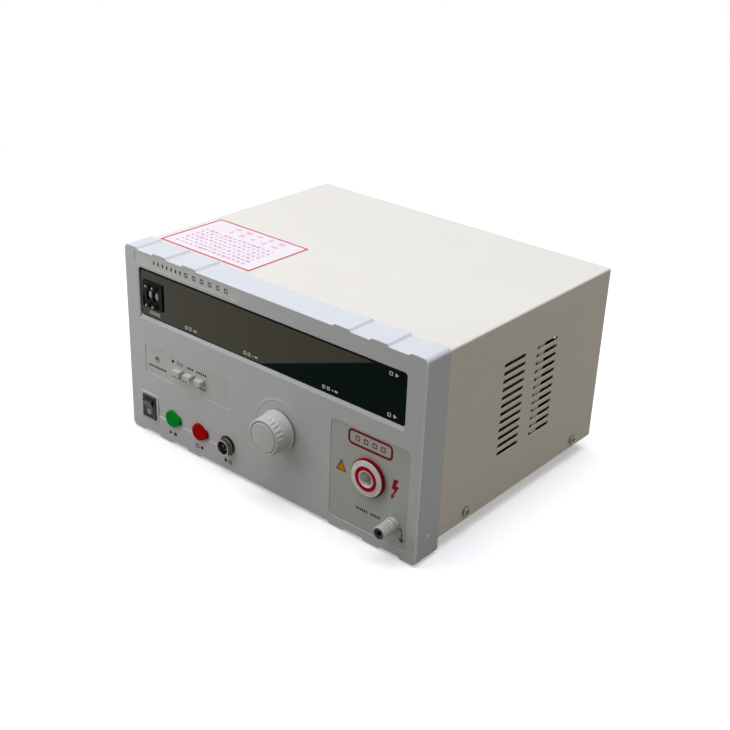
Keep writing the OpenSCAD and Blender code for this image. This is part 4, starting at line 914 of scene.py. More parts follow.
class Maker:
    """Makes pieces, seats them on their bodies and keeps count of them."""

    weld: float = 2e-6
    flat: float = 0.4

    def __init__(self) -> None:
        """Reads each node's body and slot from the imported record."""
        record = frame["record"]
        self.slots = {part["node"]: part["material_slot"] for part in record["subparts"]}
        self.bodies = {node: body for body, nodes in record["behaviour"]["bodies"].items() for node in nodes}
        self.scatter = Scatter()
        self.made = 0

    def seat(self, name: str, mesh: bpy.types.Mesh, finish: Finish | None, seat: Seat) -> bpy.types.Object:
        """Puts a finished mesh into the scene.

        Args:
            name: The piece's name.
            mesh: Its mesh, in the row frame.
            finish: Its finish, or None where the mesh already has it.
            seat: Where it belongs.

        Returns:
            The piece.
        """
        piece = linked(name, mesh)
        if finish is not None:
            mesh.materials.clear()
            mesh.materials.append(finish.material())
        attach(piece, seat.body)
        if seat.nodes:
            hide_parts(*seat.nodes)
        self.made += 1
        LOG.info("%s: %d faces on %s", name, len(mesh.polygons), seat.body)
        return piece

    def build(self, name: str, form: Form, matrix: Matrix, finish: Finish, seat: Seat,
              edge: float = 0.0) -> bpy.types.Object:
        """Makes a piece from a form, with its edges rounded by edge millimetres."""
        mesh = mesh_of(name, form, matrix)
        if edge:
            mesh = self.rounded(mesh, edge)
        return self.seat(name, mesh, finish, seat)

    @staticmethod
    def rounded(mesh: bpy.types.Mesh, edge: float, segments: int = 2,
                weighted: bool = False) -> bpy.types.Mesh:
        """Returns a mesh with its sharp edges rounded, or only its weighted ones."""
        holder = linked("holder", mesh)
        bevel = holder.modifiers.new("edges", "BEVEL")
        bevel.width = edge * MM
        bevel.segments = segments
        bevel.limit_method = "WEIGHT" if weighted else "ANGLE"
        bevel.angle_limit = math.radians(CAD_CREASE)
        bevel.use_clamp_overlap = False
        bevel.harden_normals = True
        made = plain(holder)
        bpy.data.objects.remove(holder)
        return made

    def merged(self, node: str, split: bool = False) -> bpy.types.Mesh:
        """Returns a copy of a CAD node's mesh, joined, with its flats made whole or only its convex ones."""
        source = frame["nodes"][node].data
        mesh = bpy.data.meshes.new(node + "_copy")
        mesh.from_pydata([vertex.co[:] for vertex in source.vertices], [],
                         [face.vertices[:] for face in source.polygons])
        with edited(mesh) as work:
            bmesh.ops.remove_doubles(work, verts=work.verts[:], dist=self.weld)
            bmesh.ops.dissolve_limit(work, angle_limit=math.radians(self.flat), verts=work.verts[:],
                                     edges=work.edges[:])
            if split:
                hollow = [face for face in work.faces if not all(corner.is_convex for corner in face.loops)]
                bmesh.ops.triangulate(work, faces=hollow)
        smooth(mesh, CAD_CREASE)
        return mesh

    def refine(self, node: str, finish: Finish, edge: float, segments: int = 2, split: bool = False,
               mesh: bpy.types.Mesh | None = None,
               weight: Callable[[Vector, Vector], float] | None = None) -> bpy.types.Object:
        """Replaces a CAD node by a copy with rounded edges.

        Args:
            node: The CAD node.
            finish: The piece's finish.
            edge: The rounding's width.
            segments: How many steps the rounding has.
            split: Whether faces that go round a hole are cut into triangles.
            mesh: The node's merged copy, where it was changed first.
            weight: Gives the share of the width for an edge between two points in the row frame.

        Returns:
            The piece.
        """
        mesh = mesh or self.merged(node, split)
        if weight is not None:
            shares = mesh.attributes.new("bevel_weight_edge", "FLOAT", "EDGE")
            corners = [vertex.co for vertex in mesh.vertices]
            for i, line in enumerate(mesh.edges):
                shares.data[i].value = weight(corners[line.vertices[0]], corners[line.vertices[1]])
        mesh = self.rounded(mesh, edge, segments, weight is not None)
        return self.seat(node + "_piece", mesh, finish, Seat(self.bodies[node], self.slots[node], (node,)))

    @staticmethod
    def two_tone(piece: bpy.types.Object, finish: Finish, chosen: Callable[[Vector], bool]) -> None:
        """Gives the faces whose middles are chosen a further finish."""
        piece.data.materials.append(finish.material())
        for face in piece.data.polygons:
            if chosen(face.center):
                face.material_index = len(piece.data.materials) - 1

    def dress(self, node: str, finish: Finish) -> None:
        """Keeps a CAD node as it is and gives it a finish."""
        shown = frame["nodes"][node]
        for slot in shown.material_slots:
            slot.material = finish.material()
        LOG.info("%s: kept, %s", node, finish.name)

    def islands(self, node: str) -> list[tuple[Vector, Vector, Vector]]:
        """Returns the low corner, high corner and wide end's direction of each solid in a CAD node."""
        found, seen = [], set()
        with edited(self.merged(node), keep=False) as work:
            for start in work.verts:
                group, queue = [], [start]
                while queue:
                    here = queue.pop()
                    if here not in seen:
                        seen.add(here)
                        group.append(here.co.copy())
                        queue += [line.other_vert(here) for line in here.link_edges]
                if group:
                    low = Vector([min(point[i] for point in group) for i in range(3)])
                    high = Vector([max(point[i] for point in group) for i in range(3)])
                    found.append((low, high, self.wide_end(group, low, high)))
        return found

    @staticmethod
    def wide_end(group: Sequence[Vector], low: Vector, high: Vector) -> Vector:
        """Returns the axis of a long solid, pointing to its wider end."""
        size = high - low
        spans = [abs(size[(i + 1) % 3] - size[(i + 2) % 3]) for i in range(3)]
        axis = spans.index(min(spans))
        middle, others = (low + high) / 2, [i for i in range(3) if i != axis]

        def reach(near: float) -> float:
            """Returns how far the solid reaches from its axis near one end."""
            return max((max(abs(point[i] - middle[i]) for i in others) for point in group
                        if abs(point[axis] - near) < size[axis] * 0.3), default=0.0)
        aim = Vector((0, 0, 0))
        aim[axis] = 1.0 if reach(high[axis]) >= reach(low[axis]) else -1.0
        return aim

    def turned(self, name: str, profile: Sequence[Point2], steps: int, flutes: Fluted, place: Matrix,
               finish: Finish, seat: Seat) -> bpy.types.Object:
        """Makes a fluted piece from its turned section, with some steps to each flute."""
        base = mesh_of(name, lathe(profile, flutes.flutes * steps), Matrix.Identity(4))
        mesh = flutes.run(base, finish)
        mesh.transform(place)
        smooth(mesh, TURNED_CREASE)
        return self.seat(name, mesh, finish, seat)

    def repeat(self, name: str, node: str, template: Form, finish: Finish) -> bpy.types.Object:
        """Replaces each solid of a CAD node by a template whose top is at Z 0, at that solid's wide end."""
        places = []
        for low, high, aim in self.islands(node):
            top = (low + high) / 2
            axis = max(range(3), key=lambda i: abs(aim[i]))
            top[axis] = high[axis] if aim[axis] > 0 else low[axis]
            places.append((tuple(top), tuple(aim)))
        mesh = self.scatter.run(self.scatter.points(places), finish, template.moved(Matrix.Scale(MM, 4)))
        return self.seat(name, mesh, None, Seat(self.bodies[node], self.slots[node], (node,)))


# Marks


class Mark(Enum):
    """The plain marks that are printed on the tester."""

    BAR = "bar"
    DOT = "dot"
    RING = "ring"
    BLOCK = "block"
    WEDGE = "wedge"


@dataclass(frozen=True)
class Print:
    """One printed mark: what it is, where its middle is, and its width and height."""

    mark: Mark
    x: float
    z: float
    width: float
    height: float

    def form(self) -> Form:
        """Returns the mark as a thin plate in the panel's plane."""
        x, z, wide, tall = self.x, self.z, self.width, self.height
        if self.mark is Mark.DOT:
            return inked(circle(wide / 2, 20, x, z))
        if self.mark is Mark.RING:
            return inked(circle(wide / 2, 24, x, z), circle(wide / 2 - 0.45, 24, x, z))
        if self.mark is Mark.WEDGE:
            return inked([(x - wide / 2, z - tall / 2), (x + wide / 2, z), (x - wide / 2, z + tall / 2)])
        if self.mark is Mark.BLOCK:
            line = 0.42 * wide
            return inked(rounded_box(wide, tall, 0.3, 2, x, z),
                         rounded_box(wide - line, tall - line, 0.15, 2, x, z))
        return inked(rounded_box(wide, tall, min(0.2, tall * 0.45), 2, x, z))


def inked(outline: Sequence[Point2], hole: Sequence[Point2] | None = None) -> Form:
    """Returns an outline as a plate of ink, with a hole of as many points if it has one."""
    return band(outline, hole, 0, INK_HEIGHT) if hole else plate(outline, 0, INK_HEIGHT)


def row(mark: Mark, x: float, z: float, step: float, count: int, width: float,
        height: float) -> list[Print]:
    """Returns a row of like marks, a step apart from the first one on."""
    return [Print(mark, x + i * step, z, width, height) for i in range(count)]


def prints(marks: Sequence[Print]) -> Form:
    """Returns many marks as one form."""
    whole = Form()
    for mark in marks:
        whole = whole + mark.form()
    return whole


def inked_line(line: Sequence[Point2], width: float) -> Form:
    """Returns an open line as a plate of ink of a width."""
    left, right = [], []
    for i, point in enumerate(line):
        here = Vector(point)
        ahead = Vector(line[min(i + 1, len(line) - 1)]) - here
        behind = here - Vector(line[max(i - 1, 0)])
        first = (behind if behind.length > 1e-9 else ahead).normalized()
        second = (ahead if ahead.length > 1e-9 else behind).normalized()
        mean = (first + second).normalized()
        side = Vector((-mean.y, mean.x)) * width / 2 / max(0.5, mean.dot(second))
        left.append(tuple(here + side))
        right.append(tuple(here - side))
    return inked(right + left[::-1])


# Sub-assemblies


class Copy(NamedTuple):
    """A CAD node that is shown as its own copy with rounded edges, as Maker.refine takes it."""

    node: str
    finish: Finish
    edge: float
    segments: int = 2
    split: bool = False


@dataclass
class Group:
    """A sub-assembly, and those of its CAD nodes that only need rounded edges and a finish."""

    copies: tuple[Copy, ...] = ()

    def build(self, maker: Maker) -> None:
        """Makes a copy of each node with rounded edges."""
        for copy in self.copies:
            maker.refine(*copy)


@dataclass
class Bezel:
    """The moulded front: its body, its label films and what is printed on them."""

    half_width: float = 160.0
    height: float = 171.5
    edge: float = 1.0
    film_depth: float = 0.35
    # The band behind the button row
    stripe_z: float = 25.0
    stripe_height: float = 9.5
    stripe_depth: float = 0.4
    # The red frame of the output field: its middle's x and z, width and height
    outline: tuple[float, float, float, float] = (112.3, 86.4, 43.2, 13.5)
    # The window's opening: half its width, and between which heights it lies
    opening: tuple[float, float, float] = (144.0, 106.5, 157.0)
    lip_z: float = 108.6
    # The heights of the foot's lower edges, and how high the tabs stand
    foot_line: Point2 = (0.25, 2.05)
    tab_height: float = 2.6
    # What tells the bezel's edges apart: x past which they are at its corners, x up to which they are inside
    # it, how deep the recesses of its front are, how long its side edges are, and where its back begins
    corner_from: float = 155.4
    inside_to: float = 157.0
    recess: float = 2.2
    long_from: float = 20.0
    back_from: float = 27.0
    # The heights of the rows of marks, and the step and width of a bar by the keys
    title_z: float = 163.2
    caption_z: float = 10.2
    above_keys: float = 80.3
    below_keys: float = 66.6
    key_caption: Point2 = (2.6, 1.8)
    # The moulding's gate on the front, as x and z, and the plug in its side, as depth and z
    gate: Point2 = (31.0, 163.0)
    plug: Point2 = (13.3, 21.0)

    def share(self, a: Vector, b: Vector) -> float:
        """Returns how much of the outer rounding an edge of the bezel gets."""
        ends = spot(a), spot(b)
        near, far = sorted(depth for _, depth, _ in ends)
        side = all(abs(x) > self.corner_from for x, _, _ in ends)
        rim = not any(self.tab_height <= z <= self.height - self.tab_height for _, _, z in ends)
        if max(abs(near), abs(far)) < 0.01:
            if side:
                return 1.0
            if self.round_window(a) and self.round_window(b):
                return 0.8
            return 0.5 if rim else 0.2
        if far < self.film_depth + 0.05:
            return 0.2
        if (side or rim) and far - near > self.long_from and abs(ends[0][2] - ends[1][2]) < 0.1:
            return 0.3
        if (side or rim) and near > self.back_from:
            return 0.25
        inside = all(abs(x) < self.inside_to for x, _, _ in ends) and not rim
        return 0.14 if inside and far < self.recess else 0.0

    def on_rim(self, middle: Vector) -> bool:
        """Returns whether a face is part of the rounding down the bezel's sides or along its foot, which gets
        a painted highlight.
        """
        x, depth, z = spot(middle)
        beside = abs(x) > self.half_width - self.edge + 0.02
        below = min(abs(z - foot) for foot in self.foot_line) < self.edge / 2
        return 0.02 < depth < self.edge - 0.02 and (beside or below)

    def round_window(self, point: Vector) -> bool:
        """Returns whether a point of the front face is on the edge of the window's opening."""
        side, low, high = self.opening
        x, _, z = spot(point)
        return abs(x) < side and low < z < high

    def moulding(self, maker: Maker) -> bpy.types.Mesh:
        """Returns the bezel's copy with a crisp edge below the sloped lip under the window."""
        mesh = maker.merged("front_bezel")
        for line in mesh.edges:
            ends = [mesh.vertices[i].co for i in line.vertices]
            if all(abs(spot(end)[2] - self.lip_z) < 0.01 and self.round_window(end) for end in ends):
                line.use_edge_sharp = True
        return mesh

    def build(self, maker: Maker) -> None:
        """Makes the bezel, its three films and its marks."""
        mesh = self.moulding(maker)
        body = maker.refine("front_bezel", Palette.BEZEL, self.edge, 3, False, mesh, self.sharp_share(mesh))
        # The side faces get the darker copy of the moulding: painted shade
        maker.two_tone(body, Palette.BEZEL_SIDE, lambda middle: abs(spot(middle)[0]) > self.half_width - 0.3)
        # The rounding down the sides and along the foot gets the near-white copy: a painted highlight
        maker.two_tone(body, Palette.BEZEL_RIM, self.on_rim)
        self.films(maker)
        seat = Seat("chassis", "legend_film")
        for name, marks, depth, ink in (
                ("bezel_dark_marks", self.dark_marks(), 0.0, Palette.DARK_INK),
                ("key_field_marks", self.key_marks(), self.film_depth, Palette.DARK_INK),
                ("stripe_lines", self.stripe_marks(), self.stripe_depth, Palette.LINE_INK),
                ("title_marks", self.title_marks(), self.film_depth, Palette.DARK_INK)):
            maker.build(name, prints(marks), panel(0, 0, depth), ink, seat)
        self.output_marks(maker, seat)
        gate = band(circle(4.2, 40), circle(3.6, 40), 0, 0.16)
        maker.build("gate_mark", gate, panel(*self.gate), Palette.BEZEL, Seat("chassis", "bezel_plastic"),
                    edge=0.03)
        plug = lathe(softened([(0, 0.35), (1.1, 0.3), (1.5, 0.0), (1.5, -0.4), (0, -0.4)], 0.3), 24)
        side = level(self.half_width, *self.plug) @ Matrix.Rotation(math.radians(90), 4, "Y")
        maker.build("side_plug", plug, side, Palette.INSULATOR, Seat("chassis", "off_white_plastic"))

    def sharp_share(self, mesh: bpy.types.Mesh) -> Callable[[Vector, Vector], float]:
        """Returns a share that leaves the edges between nearly level faces alone."""
        sharp = set()
        with edited(mesh, keep=False) as work:
            for line in work.edges:
                if len(line.link_faces) == 2 and line.calc_face_angle(0) > math.radians(CAD_CREASE):
                    sharp.add(frozenset(tuple(round(value, 6) for value in end.co) for end in line.verts))

        def share(a: Vector, b: Vector) -> float:
            """Returns the share of an edge, or 0 where it isn't sharp."""
            key = frozenset(tuple(round(value, 6) for value in end) for end in (a, b))
            return self.share(a, b) if key in sharp else 0.0
        return share

    def films(self, maker: Maker) -> None:
        """Splits the film node into its three fields and dresses each."""
        mesh = maker.merged("panel_films")
        order = [("title_film", Palette.TITLE_FILM, lambda x, z: z > self.opening[2]),
                 ("output_film", Palette.OUTPUT_FILM, lambda x, z: x > self.outline[0] - self.outline[2]),
                 ("key_film", Palette.KEY_FILM, lambda x, z: x < 0 and z < self.opening[1])]
        for i, (name, finish, keep) in enumerate(order):
            part = mesh.copy()
            with edited(part) as work:
                spare = [vertex for vertex in work.verts if not keep(*spot(vertex.co)[::2])]
                bmesh.ops.delete(work, geom=spare, context="VERTS")
            smooth(part, CAD_CREASE)
            seat = Seat("chassis", "legend_film", ("panel_films",) if i == 0 else ())
            maker.seat(name, maker.rounded(part, 0.06), finish, seat)

    def title_marks(self) -> list[Print]:
        """Returns the plain marks in a row on the title strip."""
        return (row(Mark.BAR, -123.4, self.title_z, 5.3, 7, 1.7, 3.2)
                + row(Mark.BLOCK, -84.6, self.title_z, 9.2, 6, 3.9, 3.9))

    def dark_marks(self) -> list[Print]:
        """Returns the marks under the buttons and the socket."""
        return [Print(mark, x, self.caption_z, wide, tall) for mark, x, wide, tall in (
            (Mark.WEDGE, -109.6, 3.6, 3.8), (Mark.BAR, -104.0, 3.4, 3.2), (Mark.BLOCK, -76.1, 3.8, 3.6),
            (Mark.DOT, -70.4, 3.4, 3.4), (Mark.DOT, -41.6, 3.4, 3.4), (Mark.BLOCK, -36.0, 3.6, 3.6))]

    def key_marks(self) -> list[Print]:
        """Returns the marks round the keys and the adjusting hole."""
        step, wide = self.key_caption
        marks = [Print(Mark.DOT, -104.2, self.above_keys, 3.2, 3.2),
                 *row(Mark.BLOCK, -98, self.above_keys, 4.4, 2, 2.8, 2.8),
                 *row(Mark.BAR, -134, 67.5, 2.45, 9, wide, 1.9), Print(Mark.RING, -124.1, 75.4, 5.4, 5.4)]
        for x, z, count, tall in ((-85.4, self.above_keys, 3, 2.0), (-74.6, self.above_keys, 5, 2.0),
                                  (-104.4, self.below_keys, 4, 1.7), (-91.4, self.below_keys, 2, 1.7),
                                  (-73.6, self.below_keys, 4, 1.7)):
            marks += row(Mark.BAR, x, z, step, count, wide, tall)
        return marks

    def stripe_marks(self) -> list[Print]:
        """Returns the two pale lines of the band behind the button row."""
        gaps = [(-124.4, -115.3), (-96.0, -81.6), (-62.4, -48.6)]
        reach = self.stripe_height / 2 - 0.55
        return [Print(Mark.BAR, (low + high) / 2, self.stripe_z + side * reach, high - low, 1.1)
                for low, high in gaps for side in (-1, 1)]

    def output_marks(self, maker: Maker, seat: Seat) -> None:
        """Makes the red frame, the amber triangle, the red zigzag and the earth sign of the output field."""
        x, z, width, height = self.outline
        triangle = [(79.6, 52.5), (90.4, 52.5), (85.0, 63.4)]
        inner = [(81.5, 53.6), (88.5, 53.6), (85.0, 60.8)]
        zigzag = [(135.7, 66.4), (134.0, 57.6), (136.9, 57.3), (134.9, 52.6), (133.6, 52.4), (134.3, 48.6),
                  (137.2, 51.6), (136.1, 52.0), (140.9, 61.0), (137.9, 61.4), (140.5, 66.8)]
        bars = [Print(Mark.BAR, 145.7, 18.0 - i * 1.2, 5.4 - 1.7 * i, 0.9) for i in range(3)]
        ring = inked(rounded_box(width, height, 4.4, 8, x, z),
                     rounded_box(width - 4.2, height - 4.2, 2.3, 8, x, z))
        for name, form, ink in (
                ("output_red_marks", ring + prints(row(Mark.BLOCK, x - 12.3, z, 8.2, 4, 4.3, 4.3)),
                 Palette.RED_INK),
                ("output_bolt_mark", inked(zigzag), Palette.BOLT_INK),
                ("triangle_rim", inked(triangle, inner), Palette.BROWN_INK),
                ("triangle_face", plate(inner, 0, INK_HEIGHT - 0.002), Palette.AMBER_INK),
                ("earth_sign", inked_line([(141.4, 26.4), (145.7, 26.4), (145.7, 18.2)], 0.9) + prints(bars),
                 Palette.DARK_INK),
                ("output_maroon_marks", prints(row(Mark.BAR, 101.4, 27.0, 2.0, 6, 1.4, 2.4)
                                               + row(Mark.BAR, 115.8, 27.0, 2.0, 5, 1.4, 2.4)),
                 Palette.MAROON_INK)):
            maker.build(name, form, panel(0, 0, self.film_depth), ink, seat)


@dataclass
class Display(Group):
    """The smoked window and the display board behind it."""

    copies: tuple[Copy, ...] = (
        Copy("display_window", Palette.WINDOW, 0.35), Copy("display_board", Palette.PCB, 0.12),
        Copy("panel_board", Palette.PCB, 0.12), Copy("digit_displays", Palette.DISPLAY, 0.25))
    window_depth: float = 1.4
    # The black band painted round the window as the shadow under the opening's rim: its width, height, corner
    # radius and line width
    window: tuple[float, float, float, float] = (285.5, 42.7, 2.9, 0.9)
    # The band's width along the top edge, where the painted shadow under the rim is widest
    border_top: float = 2.1
    digit: Point2 = (8.4, 14.0)
    segment: float = 1.3
    digit_x: tuple[float, float, float] = (-82.0, -13.0, 70.5)
    digit_step: float = 12.0
    caption_z: Point2 = (116.5, 149.5)
    middle_z: float = 133.4
    face_depth: float = 4.7

    def build(self, maker: Maker) -> None:
        """Makes the window, its marks, the boards, the displays with their segments, and the lamps."""
        super().build(maker)
        low_z, high_z = self.caption_z
        marks = row(Mark.BLOCK, -131.0, low_z + 0.2, 3.3, 4, 2.7, 2.7)
        for low, high in [(-88.9, -74.8), (-21.0, -5.2), (62.6, 78.5)]:
            marks += [Print(Mark.BLOCK, low + 1.7, low_z, 2.9, 2.8),
                      Print(Mark.BLOCK, low + 6.4, low_z, 2.8, 2.8),
                      Print(Mark.DOT, low + 10.6, low_z - 0.3, 1.3, 1.3),
                      Print(Mark.BAR, high - 1.7, low_z - 0.2, 3.2, 1.4)]
        for z in (high_z, low_z):
            marks += [Print(Mark.BLOCK, 127.5, z, 3.1, 3.1), Print(Mark.WEDGE, 133.0, z, 3.1, 3.3)]
        wide, tall, corner, line = self.window
        top = self.border_top
        # The black band round the window is painted shadow of the opening's rim
        border = inked(rounded_box(wide, tall, corner, 6, 0, self.middle_z),
                       rounded_box(wide - 2 * line, tall - line - top, corner - line, 6, 0,
                                   self.middle_z - (top - line) / 2))
        for name, form, ink in (("window_marks", prints(marks), Palette.WHITE_INK),
                                ("window_border", border, Palette.BLACK_INK)):
            maker.build(name, form, panel(0, 0, self.window_depth), ink, Seat("chassis", "smoked_acrylic"))
        self.segments(maker)
        maker.dress("indicator_lamps", Palette.LAMP)

    def segments(self, maker: Maker) -> None:
        """Makes seven bars to each digit, three digits to each display."""
        wide, tall = self.digit
        half = tall / 2
        spots = [((0, half), 0), ((0, 0), 0), ((0, -half), 0), ((wide / 2, half / 2), 1),
                 ((-wide / 2, half / 2), 1), ((wide / 2, -half / 2), 1), ((-wide / 2, -half / 2), 1)]
        cut = self.segment / 2
        reach = {0: wide / 2 - 0.5, 1: half / 2 - 0.5}
        whole = Form()
        for centre in self.digit_x:
            for middle in (centre - self.digit_step, centre, centre + self.digit_step):
                for (x, z), upright in spots:
                    long = reach[upright]
                    bar = [(-long, 0), (-long + cut, -cut), (long - cut, -cut), (long, 0), (long - cut, cut),
                           (-long + cut, cut)]
                    if upright:
                        bar = [(-b, a) for a, b in bar]
                    whole = whole + plate([(middle + x + a, self.middle_z + z + b) for a, b in bar], 0, 0.1)
        maker.build("digit_segments", whole, panel(0, 0, self.face_depth), Palette.SEGMENT,
                    Seat("chassis", "display_block"))


@dataclass
class PresetSwitch:
    """The push-wheel switch at the window's left: housing, number wheels and push pieces."""

    x: float = -127.0
    z: float = 132.7
    pitch: float = 8.0
    wheel_radius: float = 7.2
    wheel_depth: float = 8.6
    digit_height: float = 5.6
    digit_width: float = 2.9
    digit_cuts: int = 12
    push_out: float = 2.7
    push_z: float = 7.9

    def build(self, maker: Maker) -> None:
        """Makes the housing, the wheels with their numbers, and the push pieces with their dots."""
        maker.refine("preset_housing", Palette.PRESET, 0.2, split=True)
        for i, name in enumerate(("tens", "units")):
            x = self.x + (i - 0.5) * self.pitch
            maker.refine(f"preset_wheel_{name}", Palette.WHEEL, 0.12)
            maker.build(f"numbers_{name}", self.numbers(), level(x, self.wheel_depth, self.z),
                        Palette.WHITE_INK, Seat(f"wheel_{name}", "wheel_plastic"))
            for side, word in ((1, "plus"), (-1, "minus")):
                maker.refine(f"preset_{word}_{name}", Palette.PRESET, 0.3)
                dot = Print(Mark.DOT, -1.0, 0.6 * side, 1.6, 1.6).form()
                maker.build(f"dot_{word}_{name}", dot, panel(x, self.z + side * self.push_z, -self.push_out),
                            Palette.WHITE_INK, Seat(f"push_{word}_{name}", "black_plastic"))

    def numbers(self) -> Form:
        """Returns the figures 0 to 9 wrapped round the wheel, with 0 in front at rest."""
        whole = Form()
        for figure in range(10):
            flat = self.figure(str(figure))
            turned = []
            for x, y, lift in flat.points:
                angle = y / self.wheel_radius - math.radians(36 * figure)
                radius = self.wheel_radius + 0.005 + lift
                turned.append((x, -radius * math.cos(angle), radius * math.sin(angle)))
            whole = whole + Form(turned, flat.faces)
        return whole

    def figure(self, body: str) -> Form:
        """Returns one plain figure as a thin plate, centred, in millimetres."""
        curve = bpy.data.curves.new("figure", "FONT")
        curve.body = body
        curve.extrude = 0.5
        curve.offset = 0.055
        curve.resolution_u = 3
        holder = linked("figure", curve)
        mesh = plain(holder)
        bpy.data.objects.remove(holder)
        xs, ys = [v.co.x for v in mesh.vertices], [v.co.y for v in mesh.vertices]
        wide, tall = max(xs) - min(xs), max(ys) - min(ys)
        with edited(mesh) as work:
            for i in range(1, self.digit_cuts):
                bmesh.ops.bisect_plane(work, geom=work.verts[:] + work.edges[:] + work.faces[:],
                                       plane_co=(0, min(ys) + tall * i / self.digit_cuts, 0),
                                       plane_no=(0, 1, 0))
        across = self.digit_width if body != "1" else self.digit_width * 0.5
        points = [((v.co.x - min(xs) - wide / 2) * across / wide,
                   (v.co.y - min(ys) - tall / 2) * self.digit_height / tall,
                   INK_HEIGHT if v.co.z > 0 else 0.0) for v in mesh.vertices]
        return Form(points, [tuple(face.vertices) for face in mesh.polygons])


@dataclass
class StartRow(Group):
    """The mains rocker, the start and reset buttons and the remote socket."""

    copies: tuple[Copy, ...] = (
        Copy("power_switch_body", Palette.BLACK, 0.5, 3, True), Copy("power_rocker", Palette.ROCKER, 0.45, 3),
        Copy("start_button", Palette.GREEN, 0.55, 3), Copy("reset_button", Palette.RED, 0.55, 3),
        Copy("button_switches", Palette.BLACK, 0.2), Copy("remote_socket_insert", Palette.INSERT, 0.2))
    rocker: Point2 = (-136.0, 25.8)
    swing: float = 24.0
    pivot_depth: float = 0.4
    face: float = 1.8
    mark_gap: float = 0.005
    mark_height: float = 0.04
    remote: Point2 = (-39.3, 25.0)
    barrel: float = 6.8
    wall: float = 0.9
    # A pin's radius and length
    pin: Point2 = (0.8, 18.0)

    def build(self, maker: Maker) -> None:
        """Makes the row's pieces."""
        super().build(maker)
        self.rocker_marks(maker)
        shell = maker.refine("remote_socket_shell", Palette.RING, 0.22)
        # Behind the front ring the shell is painted darker as the barrel's shade, and darkest at the flange
        # as the recess's shadow
        for finish, start in ((Palette.OLIVE_ZINC, -4.9), (Palette.DARK_ZINC, -1.15)):
            maker.two_tone(shell, finish, lambda middle: self.outside(middle) > start)
        tip = softened([(0, 0), (self.pin[0], 0), (self.pin[0], -self.pin[1])], self.pin[0] * 0.8, 4)
        pin = lathe([*tip, (0, -self.pin[1])], 20)
        maker.repeat("remote_pins", "remote_socket_pins", pin, Palette.PIN)

    def outside(self, middle: Vector) -> float:
        """Returns how deep a face of the socket's shell is, or far in front if it is inside the barrel."""
        x, depth, z = spot(middle)
        reach = math.hypot(x - self.remote[0], z - self.remote[1])
        inside = self.barrel - self.wall - 0.5 < reach < self.barrel - self.wall + 0.4
        return -math.inf if inside else depth

    def rocker_marks(self, maker: Maker) -> None:
        """Makes the ring on the rocker's lower half and the bar on its upper half."""
        x, z = self.rocker
        seat = Seat("rocker", "black_plastic")
        face = panel(x, z, self.pivot_depth) @ Matrix.Translation((0, 0, self.face + self.mark_gap))
        tilt = Matrix.Rotation(math.radians(self.swing), 4, "X")
        for name, form, place in (
                ("off_ring", band(circle(2.2, 28), circle(1.25, 28), 0, self.mark_height),
                 face @ Matrix.Translation((0, -4.4, 0))),
                ("on_bar", plate(rounded_box(0.8, 3.6, 0.3, 3), 0, self.mark_height),
                 face @ tilt @ Matrix.Translation((0, 4.1, 0)))):
            maker.build(name, form, place, Palette.WHITE_INK, seat)


@dataclass
class KeyGroup(Group):
    """The three push keys, their switch bank and the adjusting screw."""

    copies: tuple[Copy, ...] = (
        Copy("key_left", Palette.OFF_WHITE, 0.6, 3), Copy("key_middle", Palette.OFF_WHITE, 0.6, 3),
        Copy("key_right", Palette.OFF_WHITE, 0.6, 3), Copy("key_switch_bank", Palette.ZINC, 0.3),
        Copy("trimmer_body", Palette.TRIMMER, 0.3), Copy("trimmer_screw", Palette.AGED_NICKEL, 0.12))


